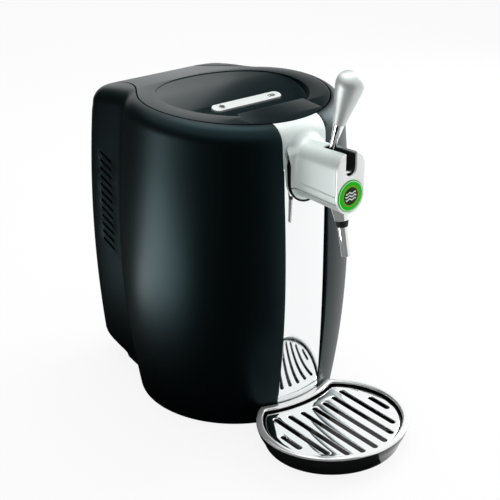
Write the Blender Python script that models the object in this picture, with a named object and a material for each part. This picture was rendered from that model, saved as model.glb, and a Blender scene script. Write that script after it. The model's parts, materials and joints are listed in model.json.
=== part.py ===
"""Mini keg beer dispenser: a barrel-shaped cooler for a five-litre keg, with a lever tap and a drip tray.

The barrel's axis is the vertical through the root empty, +Z up, -Y towards the tap, +X to the
right of someone who stands behind the dispenser. All sizes are in metres.
"""

import math

import bmesh
import bpy
from mathutils import Matrix

# Clearances and overruns
GAP = 0.0003
MOULD_GAP = 0.0004
OVERRUN = 0.020
MERGE = 0.000001

# Steps round curved outlines
BARREL_STEPS = 15
VALLEY_STEPS = 3
CORNER_STEPS = 5
LID_STEPS = 13
TONGUE_STEPS = 6
ROUND_STEPS = 32
SMALL_STEPS = 12
SEARCH_STEPS = 40
EDGE_STEPS = 3
EDGE_ANGLE = 60

# Body form
CROWN_HEIGHT = 0.380
BODY_FOOT = 0.003
BELLY_HEIGHT_SHARE = 0.5
BELLY_HEIGHT = CROWN_HEIGHT * BELLY_HEIGHT_SHARE
BELLY_RADIUS = 0.1372
BASE_RADIUS_LOSS = 0.0164
NECK_DROP = 0.04
NECK_HEIGHT = CROWN_HEIGHT - NECK_DROP
LID_DEPTH = 0.03
LID_BOTTOM = CROWN_HEIGHT - LID_DEPTH
NECK_RADIUS_LOSS = 0.007
BASE_ROUND = 0.0015
CROWN_PLACE = 0.020
CROWN_FRONT_INSET = 0.0122
CROWN_FRONT_REACH = BELLY_RADIUS - CROWN_FRONT_INSET
CROWN_FRONT_DROP = 0.0052
CROWN_REAR_DROP = 0.0207
SHOULDER_ROUND = 0.020
SHOULDER_ANGLES = (0, 22.5, 45, 67.5, 90)
WALL = 0.003

# Tail housing behind the barrel
TAIL_SIDE_STEP = 0.0332
TAIL_HALF_WIDTH = BELLY_RADIUS - TAIL_SIDE_STEP
TAIL_REACH = 0.0498
TAIL_REAR = BELLY_RADIUS + TAIL_REACH
CROWN_REAR_INSET = 0.026
CROWN_REAR_REACH = TAIL_REAR - CROWN_REAR_INSET
TAIL_BELLY_RISE = 0.010
TAIL_BELLY_HEIGHT = BELLY_HEIGHT + TAIL_BELLY_RISE
TAIL_BELLY_REACH = NECK_HEIGHT - TAIL_BELLY_HEIGHT
TAIL_SIDE_LOSS = 0.0040
TAIL_REAR_LOSS = 0.0055
TAIL_CORNER = 0.040
VALLEY_ROUND = 0.025
TAIL_FOOT_LOW = -0.006
TAIL_FOOT_HIGH = 0.038
TAIL_FOOT_SHARE = 0.57
FAN_DROP = 0.130
FAN_HEIGHT = LID_BOTTOM - FAN_DROP
TAIL_FOOT_SHARES = (0.36, 0.52, 0.68, 0.84, 1)
WALL_LEVEL_SHARES = (0.2, 0.4, 0.6, 0.8, 1)

# Side vents in the tail
VENT_COUNT = 12
VENT_PITCH = 0.0104
VENT_SLOT_HEIGHT = 0.0044
VENT_DROP = 0.054
VENT_LOW = FAN_HEIGHT - VENT_DROP
VENT_REAR_INSET = 0.051
VENT_REAR = TAIL_REAR - VENT_REAR_INSET
VENT_LENGTH = 0.025
VENT_FRONT = VENT_REAR - VENT_LENGTH
VENT_RISE = 0.008

# Rear panel and its grille
PANEL_HALF_WIDTH = 0.0594
PANEL_BOTTOM = 0.0700
GRILLE_COUNT = 9
GRILLE_PITCH = 0.0095
GRILLE_SLOT_HEIGHT = 0.0048
GRILLE_RADIUS = 0.046

# Cord gland in the rear panel
GLAND_SIDE = 0.040
GLAND_RISE = 0.018
GLAND_HEIGHT = PANEL_BOTTOM + GLAND_RISE
GLAND_RADIUS = 0.0060
GLAND_BORE = 0.0036
GLAND_FLANGE_RADIUS = 0.0085
GLAND_FLANGE = 0.0020
GLAND_DEPTH = 0.012

# Front strip and its carrier
STRIP_HALF_WIDTH = 0.0310
STRIP_THICKNESS = 0.0020
STRIP_BOTTOM = 0.0260
STRIP_SET_BACK = 0.0032
STRIP_SET_BACK_FOOT = 0.025
STRIP_SET_BACK_REACH = BELLY_HEIGHT - STRIP_SET_BACK_FOOT
CARRIER_THICKNESS = 0.0030
CARRIER_DROP = 0.012
CARRIER_TOP = LID_BOTTOM - CARRIER_DROP
CARRIER_BOTTOM = 0.0070

# Lid opening, lid and its rear tongue
LID_INSET = 0.0252
LID_RADIUS = BELLY_RADIUS - LID_INSET
LID_GAP = 0.0016
LID_WALL = 0.0030
SKIRT_DRAFT = 0.0020
TONGUE_HALF_WIDTH = 0.0590
TONGUE_END_INSET = 0.0105
TONGUE_END = TAIL_REAR - TONGUE_END_INSET
TONGUE_SIDE_LENGTH = 0.0265
TONGUE_STRAIGHT = TONGUE_END - TONGUE_SIDE_LENGTH
TONGUE_CORNER = 0.004
TONGUE_INNER_CORNER = 0.001
TONGUE_LEAVE = 25.4
TONGUE_EASE_OUT = 0.035
TONGUE_EASE_IN = 0.045

# Sunk floor of the lid
RECESS_INSET = 0.0225
RECESS_RADIUS = LID_RADIUS - RECESS_INSET
RECESS_CENTRE = 0.003
RECESS_EDGE_DEPTH = 0.0010
RECESS_FRONT_DEPTH = 0.0200
RECESS_ROLL = 0.038
RECESS_STEPS = 16

# Front grip of the lid
GRIP_DEPTH = 0.0457
GRIP_REAR = LID_RADIUS - GRIP_DEPTH
GRIP_WIDTH_SHARE = 0.4286
GRIP_REAR_HALF_WIDTH = LID_RADIUS * GRIP_WIDTH_SHARE
GRIP_SIDE_SPREAD = 0.0012
GRIP_FRONT_HALF_WIDTH = GRIP_REAR_HALF_WIDTH + GRIP_SIDE_SPREAD
GRIP_GAP = 0.0005

# Control strip on the lid floor
PILL_OFFSET = 0.0428
STRIP_PLACE = PILL_OFFSET - GRIP_REAR
PILL_LENGTH = 0.098
PILL_WIDTH = 0.0135
PILL_PROUD = 0.0022
PILL_DEPTH = 0.0034
PILL_EDGE = 0.0006
BUTTON_RADIUS = 0.0046
BUTTON_PROUD = 0.0003
BUTTON_TRAVEL = 0.0008
KEY_SIDE = 0.0360
LENS_HALF_LENGTH = 0.0045
LENS_HALF_WIDTH = 0.0020
BOARD_LENGTH = 0.090
BOARD_WIDTH = 0.024
BOARD_THICKNESS = 0.0016

# Keg chamber
COOLING_WALL = 0.0497
CHAMBER_RADIUS = BELLY_RADIUS - COOLING_WALL
CHAMBER_WALL = 0.0015
CHAMBER_FLOOR = 0.0600
CHAMBER_RIM_WIDTH = 0.0055

# Lid liner and seal
LINER_SIDE_GAP = 0.0014
LINER_RADIUS = LID_RADIUS - LID_GAP / 2 - LID_WALL - SKIRT_DRAFT - LINER_SIDE_GAP
LINER_LIFT = 0.0003
LINER_BOTTOM = LID_BOTTOM + LINER_LIFT
LINER_THICKNESS = 0.0026
PLUG_CLEARANCE = 0.0035
PLUG_RADIUS = CHAMBER_RADIUS - PLUG_CLEARANCE
PLUG_DEPTH = 0.008
PLUG_BOTTOM = LID_BOTTOM - PLUG_DEPTH
SEAL_OFFSET = 0.0085
SEAL_INNER = CHAMBER_RADIUS + SEAL_OFFSET
SEAL_WIDTH = 0.005
SEAL_OUTER = SEAL_INNER + SEAL_WIDTH

# Lid hinge
HINGE_INSET = 0.0125
HINGE_PLACE = TONGUE_END - HINGE_INSET
HINGE_RISE = 0.003
HINGE_HEIGHT = LID_BOTTOM + HINGE_RISE
HINGE_EYE = 0.0048
HINGE_PIN = 0.0020
HINGE_PIN_GAP = 0.00025
HINGE_ARM_INSIDE = 0.0300
HINGE_ARM_WIDTH = 0.0080
HINGE_ARM_REACH = 0.034
HINGE_ARM_FOOT = 0.0030
HINGE_PLATE = 0.0025
HINGE_PLATE_REAR = 0.0080
BRACKET_EYE_START = -60
BRACKET_WIDTH = 0.0040
BRACKET_SIDE_GAP = 0.0010
BRACKET_REACH = 0.023
BRACKET_FRONT = HINGE_PLACE - BRACKET_REACH
BRACKET_FOOT_INSET = 0.0115
BRACKET_REAR = HINGE_PLACE - BRACKET_FOOT_INSET
BRACKET_BAR = 0.0050
BRACKET_BAR_HEIGHT = 0.0028
HINGE_PIN_OVERHANG = 0.0010

# Deck round the keg mouth
DECK_DROP = 0.006
DECK_TOP = LID_BOTTOM - DECK_DROP
DECK_THICKNESS = 0.0030
DECK_MARGIN = 0.0025
DECK_REAR = BRACKET_REAR + DECK_MARGIN
WELL_WALL = 0.0020

# Foam insulation
FOAM_CLEARANCE = 0.0095
FOAM_BOTTOM = 0.0180
FOAM_DROP = 0.004
FOAM_TOP = DECK_TOP - FOAM_DROP
FOAM_LEVEL_SHARES = (0, 0.25, 0.5, 0.75, 1)

# Beer tube channel between keg and tap
TUBE_CHANNEL_HALF_WIDTH = 0.0055
TUBE_CHANNEL_RISE = 0.0015
TUBE_CHANNEL_TOP = LID_BOTTOM + TUBE_CHANNEL_RISE
TUBE_CHANNEL_LINER_RISE = 0.0006
TUBE_CHANNEL_LINER_TOP = LID_BOTTOM + TUBE_CHANNEL_LINER_RISE

# Cooling unit in the tail
BLOCK_HALF_WIDTH = 0.022
BLOCK_HEIGHT = 0.044
BLOCK_DEPTH = 0.0305
BLOCK_REAR = CHAMBER_RADIUS + BLOCK_DEPTH
MODULE_SIDE = 0.040
MODULE_THICKNESS = 0.004
SINK_WIDTH = 0.100
SINK_HEIGHT = 0.120
SINK_BASE = 0.006
SINK_FIN = 0.0016
SINK_FIN_DEPTH = 0.021
SINK_FIN_COUNT = 13
FAN_SIDE = 0.092
FAN_DEPTH = 0.025
FAN_CORNER = 0.006
FAN_BORE = 0.0440
FAN_BLADE_RADIUS = 0.0425
FAN_HUB_RADIUS = 0.0180
FAN_HUB_STEPS = 28
FAN_HUB_DEPTH = 0.0150
FAN_BLADE_COUNT = 7
FAN_BLADE_THICKNESS = 0.0016
FAN_BLADE_CHORD = 0.0135
FAN_BLADE_PITCH = 38
FAN_STRUT = 0.005
FAN_STRUT_DEPTH = 0.004
FAN_ROTOR_GAP = 0.0008
FAN_CUP = 0.0170
FAN_CUP_STEPS = 24
FAN_BLADE_OVERLAP = 0.002

# Power supply on the pan, under the cooling unit
SUPPLY_INSIDE = 0.004
SUPPLY_OUTSIDE = -0.048
SUPPLY_OFFSET = 0.0085
SUPPLY_FRONT = BLOCK_REAR + SUPPLY_OFFSET
SUPPLY_DEPTH = 0.018
SUPPLY_REAR = SUPPLY_FRONT + SUPPLY_DEPTH
SUPPLY_TOP = 0.072
SUPPLY_EDGE = 0.0015

# Base pan, feet and screws
PAN_THICKNESS = 0.0035
PAN_RIM_TOP = 0.0140
PAN_CLEARANCE = 0.0008
PAN_RIM_WALL = 0.0022
PAN_RIB_WIDTH = 0.0025
PAN_RIB_TOP = 0.0120
FOOT_RADIUS = 0.0090
FOOT_STEPS = 16
FOOT_INSET = 0.0422
FOOT_CIRCLE = BELLY_RADIUS - FOOT_INSET
FOOT_STEM_RADIUS = 0.0035
FOOT_EDGE = 0.0008
SCREW_INSET = 0.017
SCREW_CIRCLE = FOOT_CIRCLE - SCREW_INSET
PAN_RIB_INSET = 0.018
PAN_RIB_RADIUS = SCREW_CIRCLE - PAN_RIB_INSET
SCREW_HEAD_RADIUS = 0.0030
SCREW_HEAD = 0.0013
SCREW_STEPS = 8
SCREW_SHANK_RADIUS = 0.0014
SCREW_COUNT = 4

# Tap body
TAP_RADIUS = 0.0197
TAP_HIGH_DROP = 0.0085
TAP_HIGH = LID_BOTTOM - TAP_HIGH_DROP
TAP_LENGTH = 0.0314
TAP_LOW = TAP_HIGH - TAP_LENGTH
TAP_WALL = 0.0022
TAP_REACH = 0.0636
TAP_FACE = BELLY_RADIUS + TAP_REACH
TAP_FACE_THICKNESS = 0.0026
TAP_FACE_EDGE = 0.0008
TAP_PARTING_DROP = 0.0063
TAP_PARTING = TAP_LOW - TAP_PARTING_DROP
TAP_ROOT_DROP = 0.0040
TAP_FLARE = 0.0090
TAP_FLARE_SIDE_SHARE = 0.48
TAP_FLARE_BLEND_RISE = 0.0085
TAP_FLARE_BLEND_HIGH = TAP_HIGH + TAP_FLARE_BLEND_RISE
TAP_FLARE_BLEND_LENGTH = 0.02
TAP_FLARE_BLEND_LOW = TAP_FLARE_BLEND_HIGH - TAP_FLARE_BLEND_LENGTH
TAP_ROOT_BLEND_RISE = 0.0015
TAP_ROOT_BLEND_HIGH = LID_BOTTOM + TAP_ROOT_BLEND_RISE
TAP_ROOT_BLEND_LENGTH = 0.01
TAP_ROOT_BLEND_LOW = TAP_ROOT_BLEND_HIGH - TAP_ROOT_BLEND_LENGTH
TAP_SEAT_GAP = 0.0008
TAP_FLARE_ANGLES = (0, 30, 60, 90)
TAP_LOW_STEPS = 8
TAP_SIDE_STEPS = 3
TAP_HIGH_STEPS = 8

# Root opening in the strip and root plate of the tap frame
ROOT_OPENING_GROWTH = 0.0065
ROOT_PLATE_RADIUS = 0.0242
ROOT_PLATE_INSET = 0.006
ROOT_PLATE_FRONT = BELLY_RADIUS - ROOT_PLATE_INSET
ROOT_PLATE_THICKNESS = 0.0024
ROOT_PLATE_DROP = 0.001
ROOT_PLATE_TOP = TAP_HIGH - ROOT_PLATE_DROP
CHEEK_INSIDE = 0.0090
CHEEK_THICKNESS = 0.0025
CHEEK_SET_BACK = 0.0063
CHEEK_FRONT = TAP_FACE - CHEEK_SET_BACK
CHEEK_RISE = 0.0035
CHEEK_TOP = TAP_HIGH + CHEEK_RISE
FRAME_FLOOR_LIFT = 0.0015
FRAME_FLOOR_THICKNESS = 0.0020
FRAME_FLOOR_SET_BACK = 0.0308
FRAME_FLOOR_FRONT = TAP_FACE - FRAME_FLOOR_SET_BACK
FRAME_BAR_DEPTH = 0.0028
FRAME_BAR_RISE = 0.0119
FRAME_BAR_TOP = TAP_LOW + FRAME_BAR_RISE

# Lever slot and badge seat
SLOT_HALF_WIDTH = 0.0076
SLOT_LENGTH = 0.0373
SLOT_REAR = TAP_FACE - SLOT_LENGTH
SLOT_RISE = 0.0233
SLOT_LOW = TAP_LOW + SLOT_RISE
BADGE_RADIUS = 0.0177
BADGE_RISE = 0.0011
BADGE_HEIGHT = TAP_LOW + BADGE_RISE
BADGE_THICKNESS = 0.0013
BADGE_SEAT = 0.0008
BADGE_EDGE = 0.0004

# Lever
LEVER_SET_BACK = 0.0374
LEVER_PLACE = TAP_FACE - LEVER_SET_BACK
LEVER_RISE = 0.0249
LEVER_HEIGHT = TAP_LOW + LEVER_RISE
LEVER_LEAN = 17.5
LEVER_SWING = 58
HUB_RADIUS = 0.0065
HUB_HALF_WIDTH = 0.0060
HUB_BORE = 0.0027
LEVER_PIN_RADIUS = 0.0025
LEVER_PIN_FIT = 0.00015
STEM_RADIUS = 0.0037
LEVER_STEPS = 20
STEM_FOOT = 0.0035
FERRULE_START = 0.0375
FERRULE_LOW_RADIUS = 0.0043
FERRULE_HIGH_RADIUS = 0.0062
KNOB_START = 0.0546
KNOB_LENGTH = 0.0612
KNOB_RADIUS = 0.0152
KNOB_STEPS = 22
KNOB_SOCKET = 0.012
KNOB_SHARES = (
    (0, 0.44), (0.015, 0.475), (0.12, 0.54), (0.3, 0.67), (0.48, 0.81), (0.63, 0.93),
    (0.74, 0.99), (0.81, 1), (0.88, 0.93), (0.94, 0.74), (0.98, 0.44), (1, 0),
)
STOP_SET_BACK = 0.0078
STOP_PLACE = TAP_FACE - STOP_SET_BACK
STOP_RISE = 0.0006
STOP_HEIGHT = LEVER_HEIGHT + STOP_RISE
STOP_RADIUS = 0.0025

# Pinch valve under the lever
ARM_REACH = 0.0112
ARM_THICKNESS = 0.0030
ARM_HALF_WIDTH = 0.0030
VALVE_REACH = 0.0206
VALVE_PLACE = LEVER_PLACE + VALVE_REACH
VALVE_RADIUS = 0.0060
VALVE_BORE = 0.0048
VALVE_DROP = 0.017
VALVE_TOP = LEVER_HEIGHT - VALVE_DROP
SLIDE_RADIUS = 0.0044
SLIDE_DROP = 0.0049
SLIDE_BOTTOM = TAP_LOW - SLIDE_DROP
FINGER_OFFSET = 0.0086
FINGER_REACH = LEVER_PLACE + FINGER_OFFSET
FINGER_THICKNESS = 0.0030
FINGER_GAP = 0.0004

# Spout
SPOUT_SET_BACK = 0.0108
SPOUT_PLACE = TAP_FACE - SPOUT_SET_BACK
SPOUT_DROP = 0.0361
SPOUT_HEIGHT = TAP_LOW - SPOUT_DROP
SPOUT_LEAN = 13
SPOUT_BORE = 0.0040
CONE_LOW = 0.0055
CONE_HIGH = 0.0300
CONE_LOW_RADIUS = 0.0076
CONE_HIGH_RADIUS = 0.0118
COLLAR_LOW = -0.0015
COLLAR_HIGH_RADIUS = 0.0073
COLLAR_LOW_RADIUS = 0.0060
NOZZLE_END = -0.0348
NOZZLE_HIGH_RADIUS = 0.0057
NOZZLE_LOW_RADIUS = 0.0053
SPOUT_EDGE = 0.0005

# Drip tray
TRAY_OFFSET = 0.0478
TRAY_CENTRE = BELLY_RADIUS + TRAY_OFFSET
TRAY_HALF_WIDTH = 0.0925
TRAY_HALF_LENGTH = 0.0850
TRAY_BITE_GAP = 0.0007
TRAY_CORNER_SHARE = 0.03
TRAY_LENGTH_SHARE = 0.8
TRAY_BOTTOM = 0.0010
TRAY_BOWL_TOP = 0.0262
TRAY_RIM_TOP = 0.0294
TRAY_RIM_WIDTH = 0.0085
TRAY_RIM_EDGE_SHARE = 0.125
TRAY_FLOOR = 0.0080
TRAY_LEDGE_TOP = 0.0220
TRAY_LEDGE_INSET = 0.0160
TRAY_WALL = 0.0035
TRAY_BASE_INSET = 0.0140
TRAY_FOOT_INSET = 0.0100
TRAY_FOOT_SHARE = 0.1
TRAY_FLANK_INSET = 0.0025
TRAY_FLANK_SHARE = 0.7
TRAY_BASIN_INSET = 0.0200
TRAY_STEPS = 30
TRAY_CORNER_STEPS = 3
TRAY_BITE_STEPS = 6
GRATE_INSET = 0.0118
GRATE_THICKNESS = 0.0023
GRATE_PITCH = 0.0172
GRATE_SLOT = 0.0062
GRATE_SHIFT = 0.0055
GRATE_FRONT_CENTRE = TRAY_CENTRE + GRATE_SHIFT
GRATE_FRONT_RADIUS = 0.0680
GRATE_REAR_GAP = 0.0090
GRATE_OUTER_HALF = 0.0170
GRATE_SIDE_COUNT = 4
SLOT_STEPS = 4

# Colours: red, green, blue, roughness, metallic
FINISHES = {
    "satin_black": (0.022, 0.026, 0.027, 0.38, 0.0),
    "lid_black": (0.035, 0.042, 0.044, 0.34, 0.0),
    "inner_black": (0.020, 0.020, 0.021, 0.55, 0.0),
    "mirror_chrome": (0.80, 0.81, 0.81, 0.06, 1.0),
    "satin_silver": (0.66, 0.69, 0.69, 0.28, 0.9),
    "pale_silver": (0.74, 0.79, 0.77, 0.35, 0.4),
    "badge_green": (0.01, 0.42, 0.03, 0.3, 0.0),
    "aluminium": (0.72, 0.73, 0.74, 0.35, 1.0),
    "foam": (0.86, 0.85, 0.80, 0.9, 0.0),
    "ceramic_white": (0.85, 0.85, 0.83, 0.5, 0.0),
    "rubber": (0.015, 0.015, 0.015, 0.8, 0.0),
    "seal_grey": (0.10, 0.10, 0.11, 0.7, 0.0),
    "board_green": (0.02, 0.16, 0.06, 0.5, 0.0),
    "supply_grey": (0.30, 0.31, 0.32, 0.5, 0.2),
    "lens_dark": (0.03, 0.05, 0.05, 0.15, 0.0),
    "steel": (0.60, 0.60, 0.61, 0.3, 1.0),
}


# Plane curves

def arc(x, y, radius, start, end, steps):
    """Points from the start angle to the end angle, in degrees, both included."""
    turn = math.radians(end - start) / steps
    first = math.radians(start)
    return [
        (x + radius * math.cos(first + turn * i), y + radius * math.sin(first + turn * i))
        for i in range(steps + 1)
    ]


def bezier(first, leave, arrive, last, steps):
    """Points of a cubic curve, both ends included."""
    points = []
    for i in range(steps + 1):
        t = i / steps
        u = 1 - t
        weights = (u * u * u, 3 * u * u * t, 3 * u * t * t, t * t * t)
        corners = (first, leave, arrive, last)
        points.append(tuple(sum(w * c[k] for w, c in zip(weights, corners)) for k in (0, 1)))
    return points


def mirrored(half):
    """Closes a half outline, which runs from front centre to rear centre, with its mirror image."""
    return half + [(-x, y) for x, y in reversed(half[1:-1])]


def smooth_share(value, low, high):
    t = min(1, max(0, (value - low) / (high - low)))
    return t * t * (3 - 2 * t)


def blend(first, last, share):
    return first + (last - first) * share


def rectangle(left, right, low, high):
    return [(left, low), (right, low), (right, high), (left, high)]


# Meshes

def to_mesh(work):
    bmesh.ops.recalc_face_normals(work, faces=work.faces)
    mesh = bpy.data.meshes.new("shape")
    work.to_mesh(mesh)
    work.free()
    return mesh


def loft(rings, loop=False, roof=False):
    """Skins a row of rings with equal counts of points. A roof cap joins each point to its mirror image."""
    work = bmesh.new()
    rows = [[work.verts.new(point) for point in ring] for ring in rings]
    pairs = list(zip(rows, rows[1:]))
    if loop:
        pairs.append((rows[-1], rows[0]))
    for low, high in pairs:
        for i in range(len(low)):
            j = (i + 1) % len(low)
            work.faces.new((low[i], low[j], high[j], high[i]))
    if not loop:
        work.faces.new(rows[0])
        if roof:
            roof_cap(work, rows[-1])
        else:
            work.faces.new(rows[-1])
    return to_mesh(work)


def roof_cap(work, row):
    """Strips across the ring. The last one ends in the level rear edge, which has points along it."""
    flat = len(row) // 2
    while row[flat - 1].co.y > row[flat].co.y - MERGE:
        flat -= 1
    for i in range(flat - 1):
        corners = [row[i], row[i + 1], row[-i - 1], row[-i % len(row)]]
        work.faces.new(list(dict.fromkeys(corners)))
    work.faces.new(row[flat - 1:len(row) - flat + 2])


def turned(profile, steps=ROUND_STEPS, closed=False):
    """Spins a profile of radii and heights about the vertical. An open profile starts and ends on the axis."""
    work = bmesh.new()
    verts = [work.verts.new((radius, 0, height)) for radius, height in profile]
    edges = [work.edges.new(pair) for pair in zip(verts, verts[1:])]
    if closed:
        edges.append(work.edges.new((verts[-1], verts[0])))
    bmesh.ops.spin(
        work, geom=verts + edges, cent=(0, 0, 0), axis=(0, 0, 1), angle=math.tau, steps=steps, use_merge=True
    )
    bmesh.ops.remove_doubles(work, verts=work.verts, dist=MERGE)
    return to_mesh(work)


def tube(inner, outer, low, high, steps=ROUND_STEPS):
    return turned([(inner, low), (outer, low), (outer, high), (inner, high)], steps, closed=True)


def rod(radius, low, high, steps=SMALL_STEPS):
    return turned([(0, low), (radius, low), (radius, high), (0, high)], steps)


def prism(outline, low, high):
    """An outline in the ground plane, drawn up from the low to the high level."""
    return loft([[(x, y, level) for x, y in outline] for level in (low, high)])


def side_prism(outline, front, rear):
    """An outline of sides and heights, drawn from the front to the rear place."""
    return loft([[(x, place, z) for x, z in outline] for place in (front, rear)])


def cross_prism(outline, left, right):
    """An outline of places and heights, drawn from left to right."""
    return loft([[(side, y, z) for y, z in outline] for side in (left, right)])


def box(left, right, front, rear, low, high):
    return prism(rectangle(left, right, front, rear), low, high)


def softened(mesh, width, angle=30, segments=2):
    """Rounds the edges that are sharper than the angle."""
    work = bmesh.new()
    work.from_mesh(mesh)
    limit = math.radians(angle)
    edges = [edge for edge in work.edges if edge.is_manifold and edge.calc_face_angle() > limit]
    bmesh.ops.bevel(work, geom=edges, offset=width, segments=segments, profile=0.5, affect="EDGES", material=-1)
    return to_mesh(work)


def moved(mesh, matrix):
    mesh.transform(matrix)
    return mesh


def copied(mesh, matrix):
    return moved(mesh.copy(), matrix)


def merged(meshes):
    """Several bodies in one mesh, for pieces that lie apart."""
    work = bmesh.new()
    for mesh in meshes:
        work.from_mesh(mesh)
    return to_mesh(work)


def boolean(body, tool, operation):
    """The Boolean of two meshes, as a new mesh."""
    pair = [bpy.data.objects.new(name, mesh) for name, mesh in (("body", body), ("tool", tool))]
    for item in pair:
        bpy.context.scene.collection.objects.link(item)
    modifier = pair[0].modifiers.new(operation, "BOOLEAN")
    modifier.operation = operation
    modifier.solver = "EXACT"
    modifier.object = pair[1]
    bpy.context.view_layer.update()
    result = bpy.data.meshes.new_from_object(pair[0].evaluated_get(bpy.context.evaluated_depsgraph_get()))
    for item in pair:
        bpy.data.objects.remove(item)
    return result


def cut(body, *tools):
    for tool in tools:
        body = boolean(body, tool, "DIFFERENCE")
    return body


def common(body, tool):
    return boolean(body, tool, "INTERSECT")


def joined(body, *others):
    for other in others:
        body = boolean(body, other, "UNION")
    return body


# Materials and objects

def finish(name):
    found = bpy.data.materials.get(name)
    if found:
        return found
    red, green, blue, roughness, metallic = FINISHES[name]
    material = bpy.data.materials.new(name)
    material.use_nodes = True
    material.diffuse_color = (red, green, blue, 1)
    shader = material.node_tree.nodes["Principled BSDF"]
    shader.inputs["Base Color"].default_value = (red, green, blue, 1)
    shader.inputs["Roughness"].default_value = roughness
    shader.inputs["Metallic"].default_value = metallic
    return material


def pivot(name, parent, place, turn=(0, 0, 0)):
    """An empty on a joint's axis or at a group's seat."""
    empty = bpy.data.objects.new(name, None)
    bpy.context.scene.collection.objects.link(empty)
    empty.parent = parent
    empty.location = place
    empty.rotation_euler = turn
    return empty


def piece(name, mesh, look, parent, sharp=32):
    """One named sub-part. Its mesh is drawn in the frame of its parent."""
    mesh.name = name
    mesh.materials.clear()
    mesh.materials.append(finish(look))
    mesh.shade_smooth()
    mesh.set_sharp_from_angle(angle=math.radians(sharp))
    item = bpy.data.objects.new(name, mesh)
    bpy.context.scene.collection.objects.link(item)
    item.parent = parent
    return item


def carried(name, mesh, look, parent, sharp=32):
    """One named sub-part of a moving group, drawn in the body's frame and held by its group's empty."""
    item = piece(name, mesh, look, parent, sharp)
    item.location = -parent.location
    return item


# Body form

def barrel_radius(height):
    if height < BELLY_HEIGHT:
        return BELLY_RADIUS - BASE_RADIUS_LOSS * ((BELLY_HEIGHT - height) / (BELLY_HEIGHT - BODY_FOOT)) ** 2
    return BELLY_RADIUS - NECK_RADIUS_LOSS * ((height - BELLY_HEIGHT) / (NECK_HEIGHT - BELLY_HEIGHT)) ** 2


def strip_set_back(height):
    share = (height - BELLY_HEIGHT) / STRIP_SET_BACK_REACH
    return STRIP_SET_BACK * max(0, 1 - share * share)


def crown(place):
    """Height of the roof, which only falls away towards the front and the rear."""
    if place < CROWN_PLACE:
        return CROWN_HEIGHT - CROWN_FRONT_DROP * ((place - CROWN_PLACE) / CROWN_FRONT_REACH) ** 2
    return CROWN_HEIGHT - CROWN_REAR_DROP * ((place - CROWN_PLACE) / CROWN_REAR_REACH) ** 2


def body_outline(height, inset, set_back=0):
    """Barrel, hollow valley, tail side and rounded tail corner at one height."""
    radius = barrel_radius(height) - inset - set_back
    spread = ((height - TAIL_BELLY_HEIGHT) / TAIL_BELLY_REACH) ** 2
    side = TAIL_HALF_WIDTH - TAIL_SIDE_LOSS * spread - inset
    rear = TAIL_REAR - TAIL_REAR_LOSS * spread - inset
    corner = TAIL_CORNER - inset
    valley = VALLEY_ROUND + inset
    valley_x = side + valley
    valley_y = math.sqrt((radius + valley) ** 2 - valley_x ** 2)
    meet = math.degrees(math.atan2(valley_y, valley_x))
    half = arc(0, 0, radius, -90, meet, BARREL_STEPS)
    half += arc(valley_x, valley_y, valley, meet + 180, 180, VALLEY_STEPS)[1:]
    half += [(side, (valley_y + rear - corner) / 2)]
    half += arc(side - corner, rear - corner, corner, 0, 90, CORNER_STEPS)
    half += [((side - corner) / 2, rear), (0, rear)]
    return mirrored(half), meet


def foot_outline(height, inset, set_back=0):
    """The outline below, where the tail narrows to the foot of the barrel."""
    full, meet = body_outline(height, inset, set_back)
    radius = barrel_radius(height) - inset - set_back
    half = arc(0, 0, radius, -90, meet, BARREL_STEPS)
    half += arc(0, 0, radius, meet, 90, len(full) // 2 - BARREL_STEPS)[1:]
    share = blend(TAIL_FOOT_SHARE, 1, smooth_share(height, TAIL_FOOT_LOW, TAIL_FOOT_HIGH))
    pairs = zip(mirrored(half), full)
    return [(blend(x, full_x, share), blend(y, full_y, share)) for (x, y), (full_x, full_y) in pairs]


def body_form(inset=0, floor=BODY_FOOT, edge=0, set_back=lambda height: 0):
    """The closed outer form of the body, drawn in by the inset."""
    rings = []
    if edge:
        rings.append((foot_outline(floor, inset + edge, set_back(floor)), floor))
    levels = [floor + edge] + [blend(TAIL_FOOT_LOW, TAIL_FOOT_HIGH, share) for share in TAIL_FOOT_SHARES]
    rings += [(foot_outline(height, inset, set_back(height)), height) for height in levels]
    top = crown(TAIL_REAR) - SHOULDER_ROUND - WALL
    for share in WALL_LEVEL_SHARES:
        height = blend(TAIL_FOOT_HIGH, top, share)
        rings.append((body_outline(height, inset, set_back(height))[0], height))
    solid = [[(x, y, height) for x, y in outline] for outline, height in rings]
    shoulder = crown(-BELLY_RADIUS) - SHOULDER_ROUND
    radius = SHOULDER_ROUND - inset
    for angle in SHOULDER_ANGLES:
        turn = math.radians(angle)
        outline, _ = body_outline(shoulder, inset + radius * (1 - math.cos(turn)), set_back(shoulder))
        rise = radius * math.sin(turn) - SHOULDER_ROUND
        solid.append([(x, y, crown(y) + rise) for x, y in outline])
    return loft(solid, roof=True)


def lid_outline(grow):
    """The lid's round part and its rear tongue, grown all round by a clearance."""
    radius = LID_RADIUS + grow
    half_width = TONGUE_HALF_WIDTH + grow
    corner = max(TONGUE_CORNER + grow, TONGUE_INNER_CORNER)
    end = TONGUE_END + grow
    half = arc(0, 0, radius, -90, TONGUE_LEAVE, LID_STEPS)
    x, y = half[-1]
    turn = math.radians(TONGUE_LEAVE)
    leave = (x - TONGUE_EASE_OUT * math.sin(turn), y + TONGUE_EASE_OUT * math.cos(turn))
    arrive = (half_width, TONGUE_STRAIGHT - TONGUE_EASE_IN)
    half += bezier((x, y), leave, arrive, (half_width, TONGUE_STRAIGHT), TONGUE_STEPS)[1:]
    half += arc(half_width - corner, end - corner, corner, 0, 90, EDGE_STEPS)
    half.append((0, end))
    return mirrored(half)


def above(outline, low=0):
    return prism(outline, low, CROWN_HEIGHT + OVERRUN)


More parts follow.
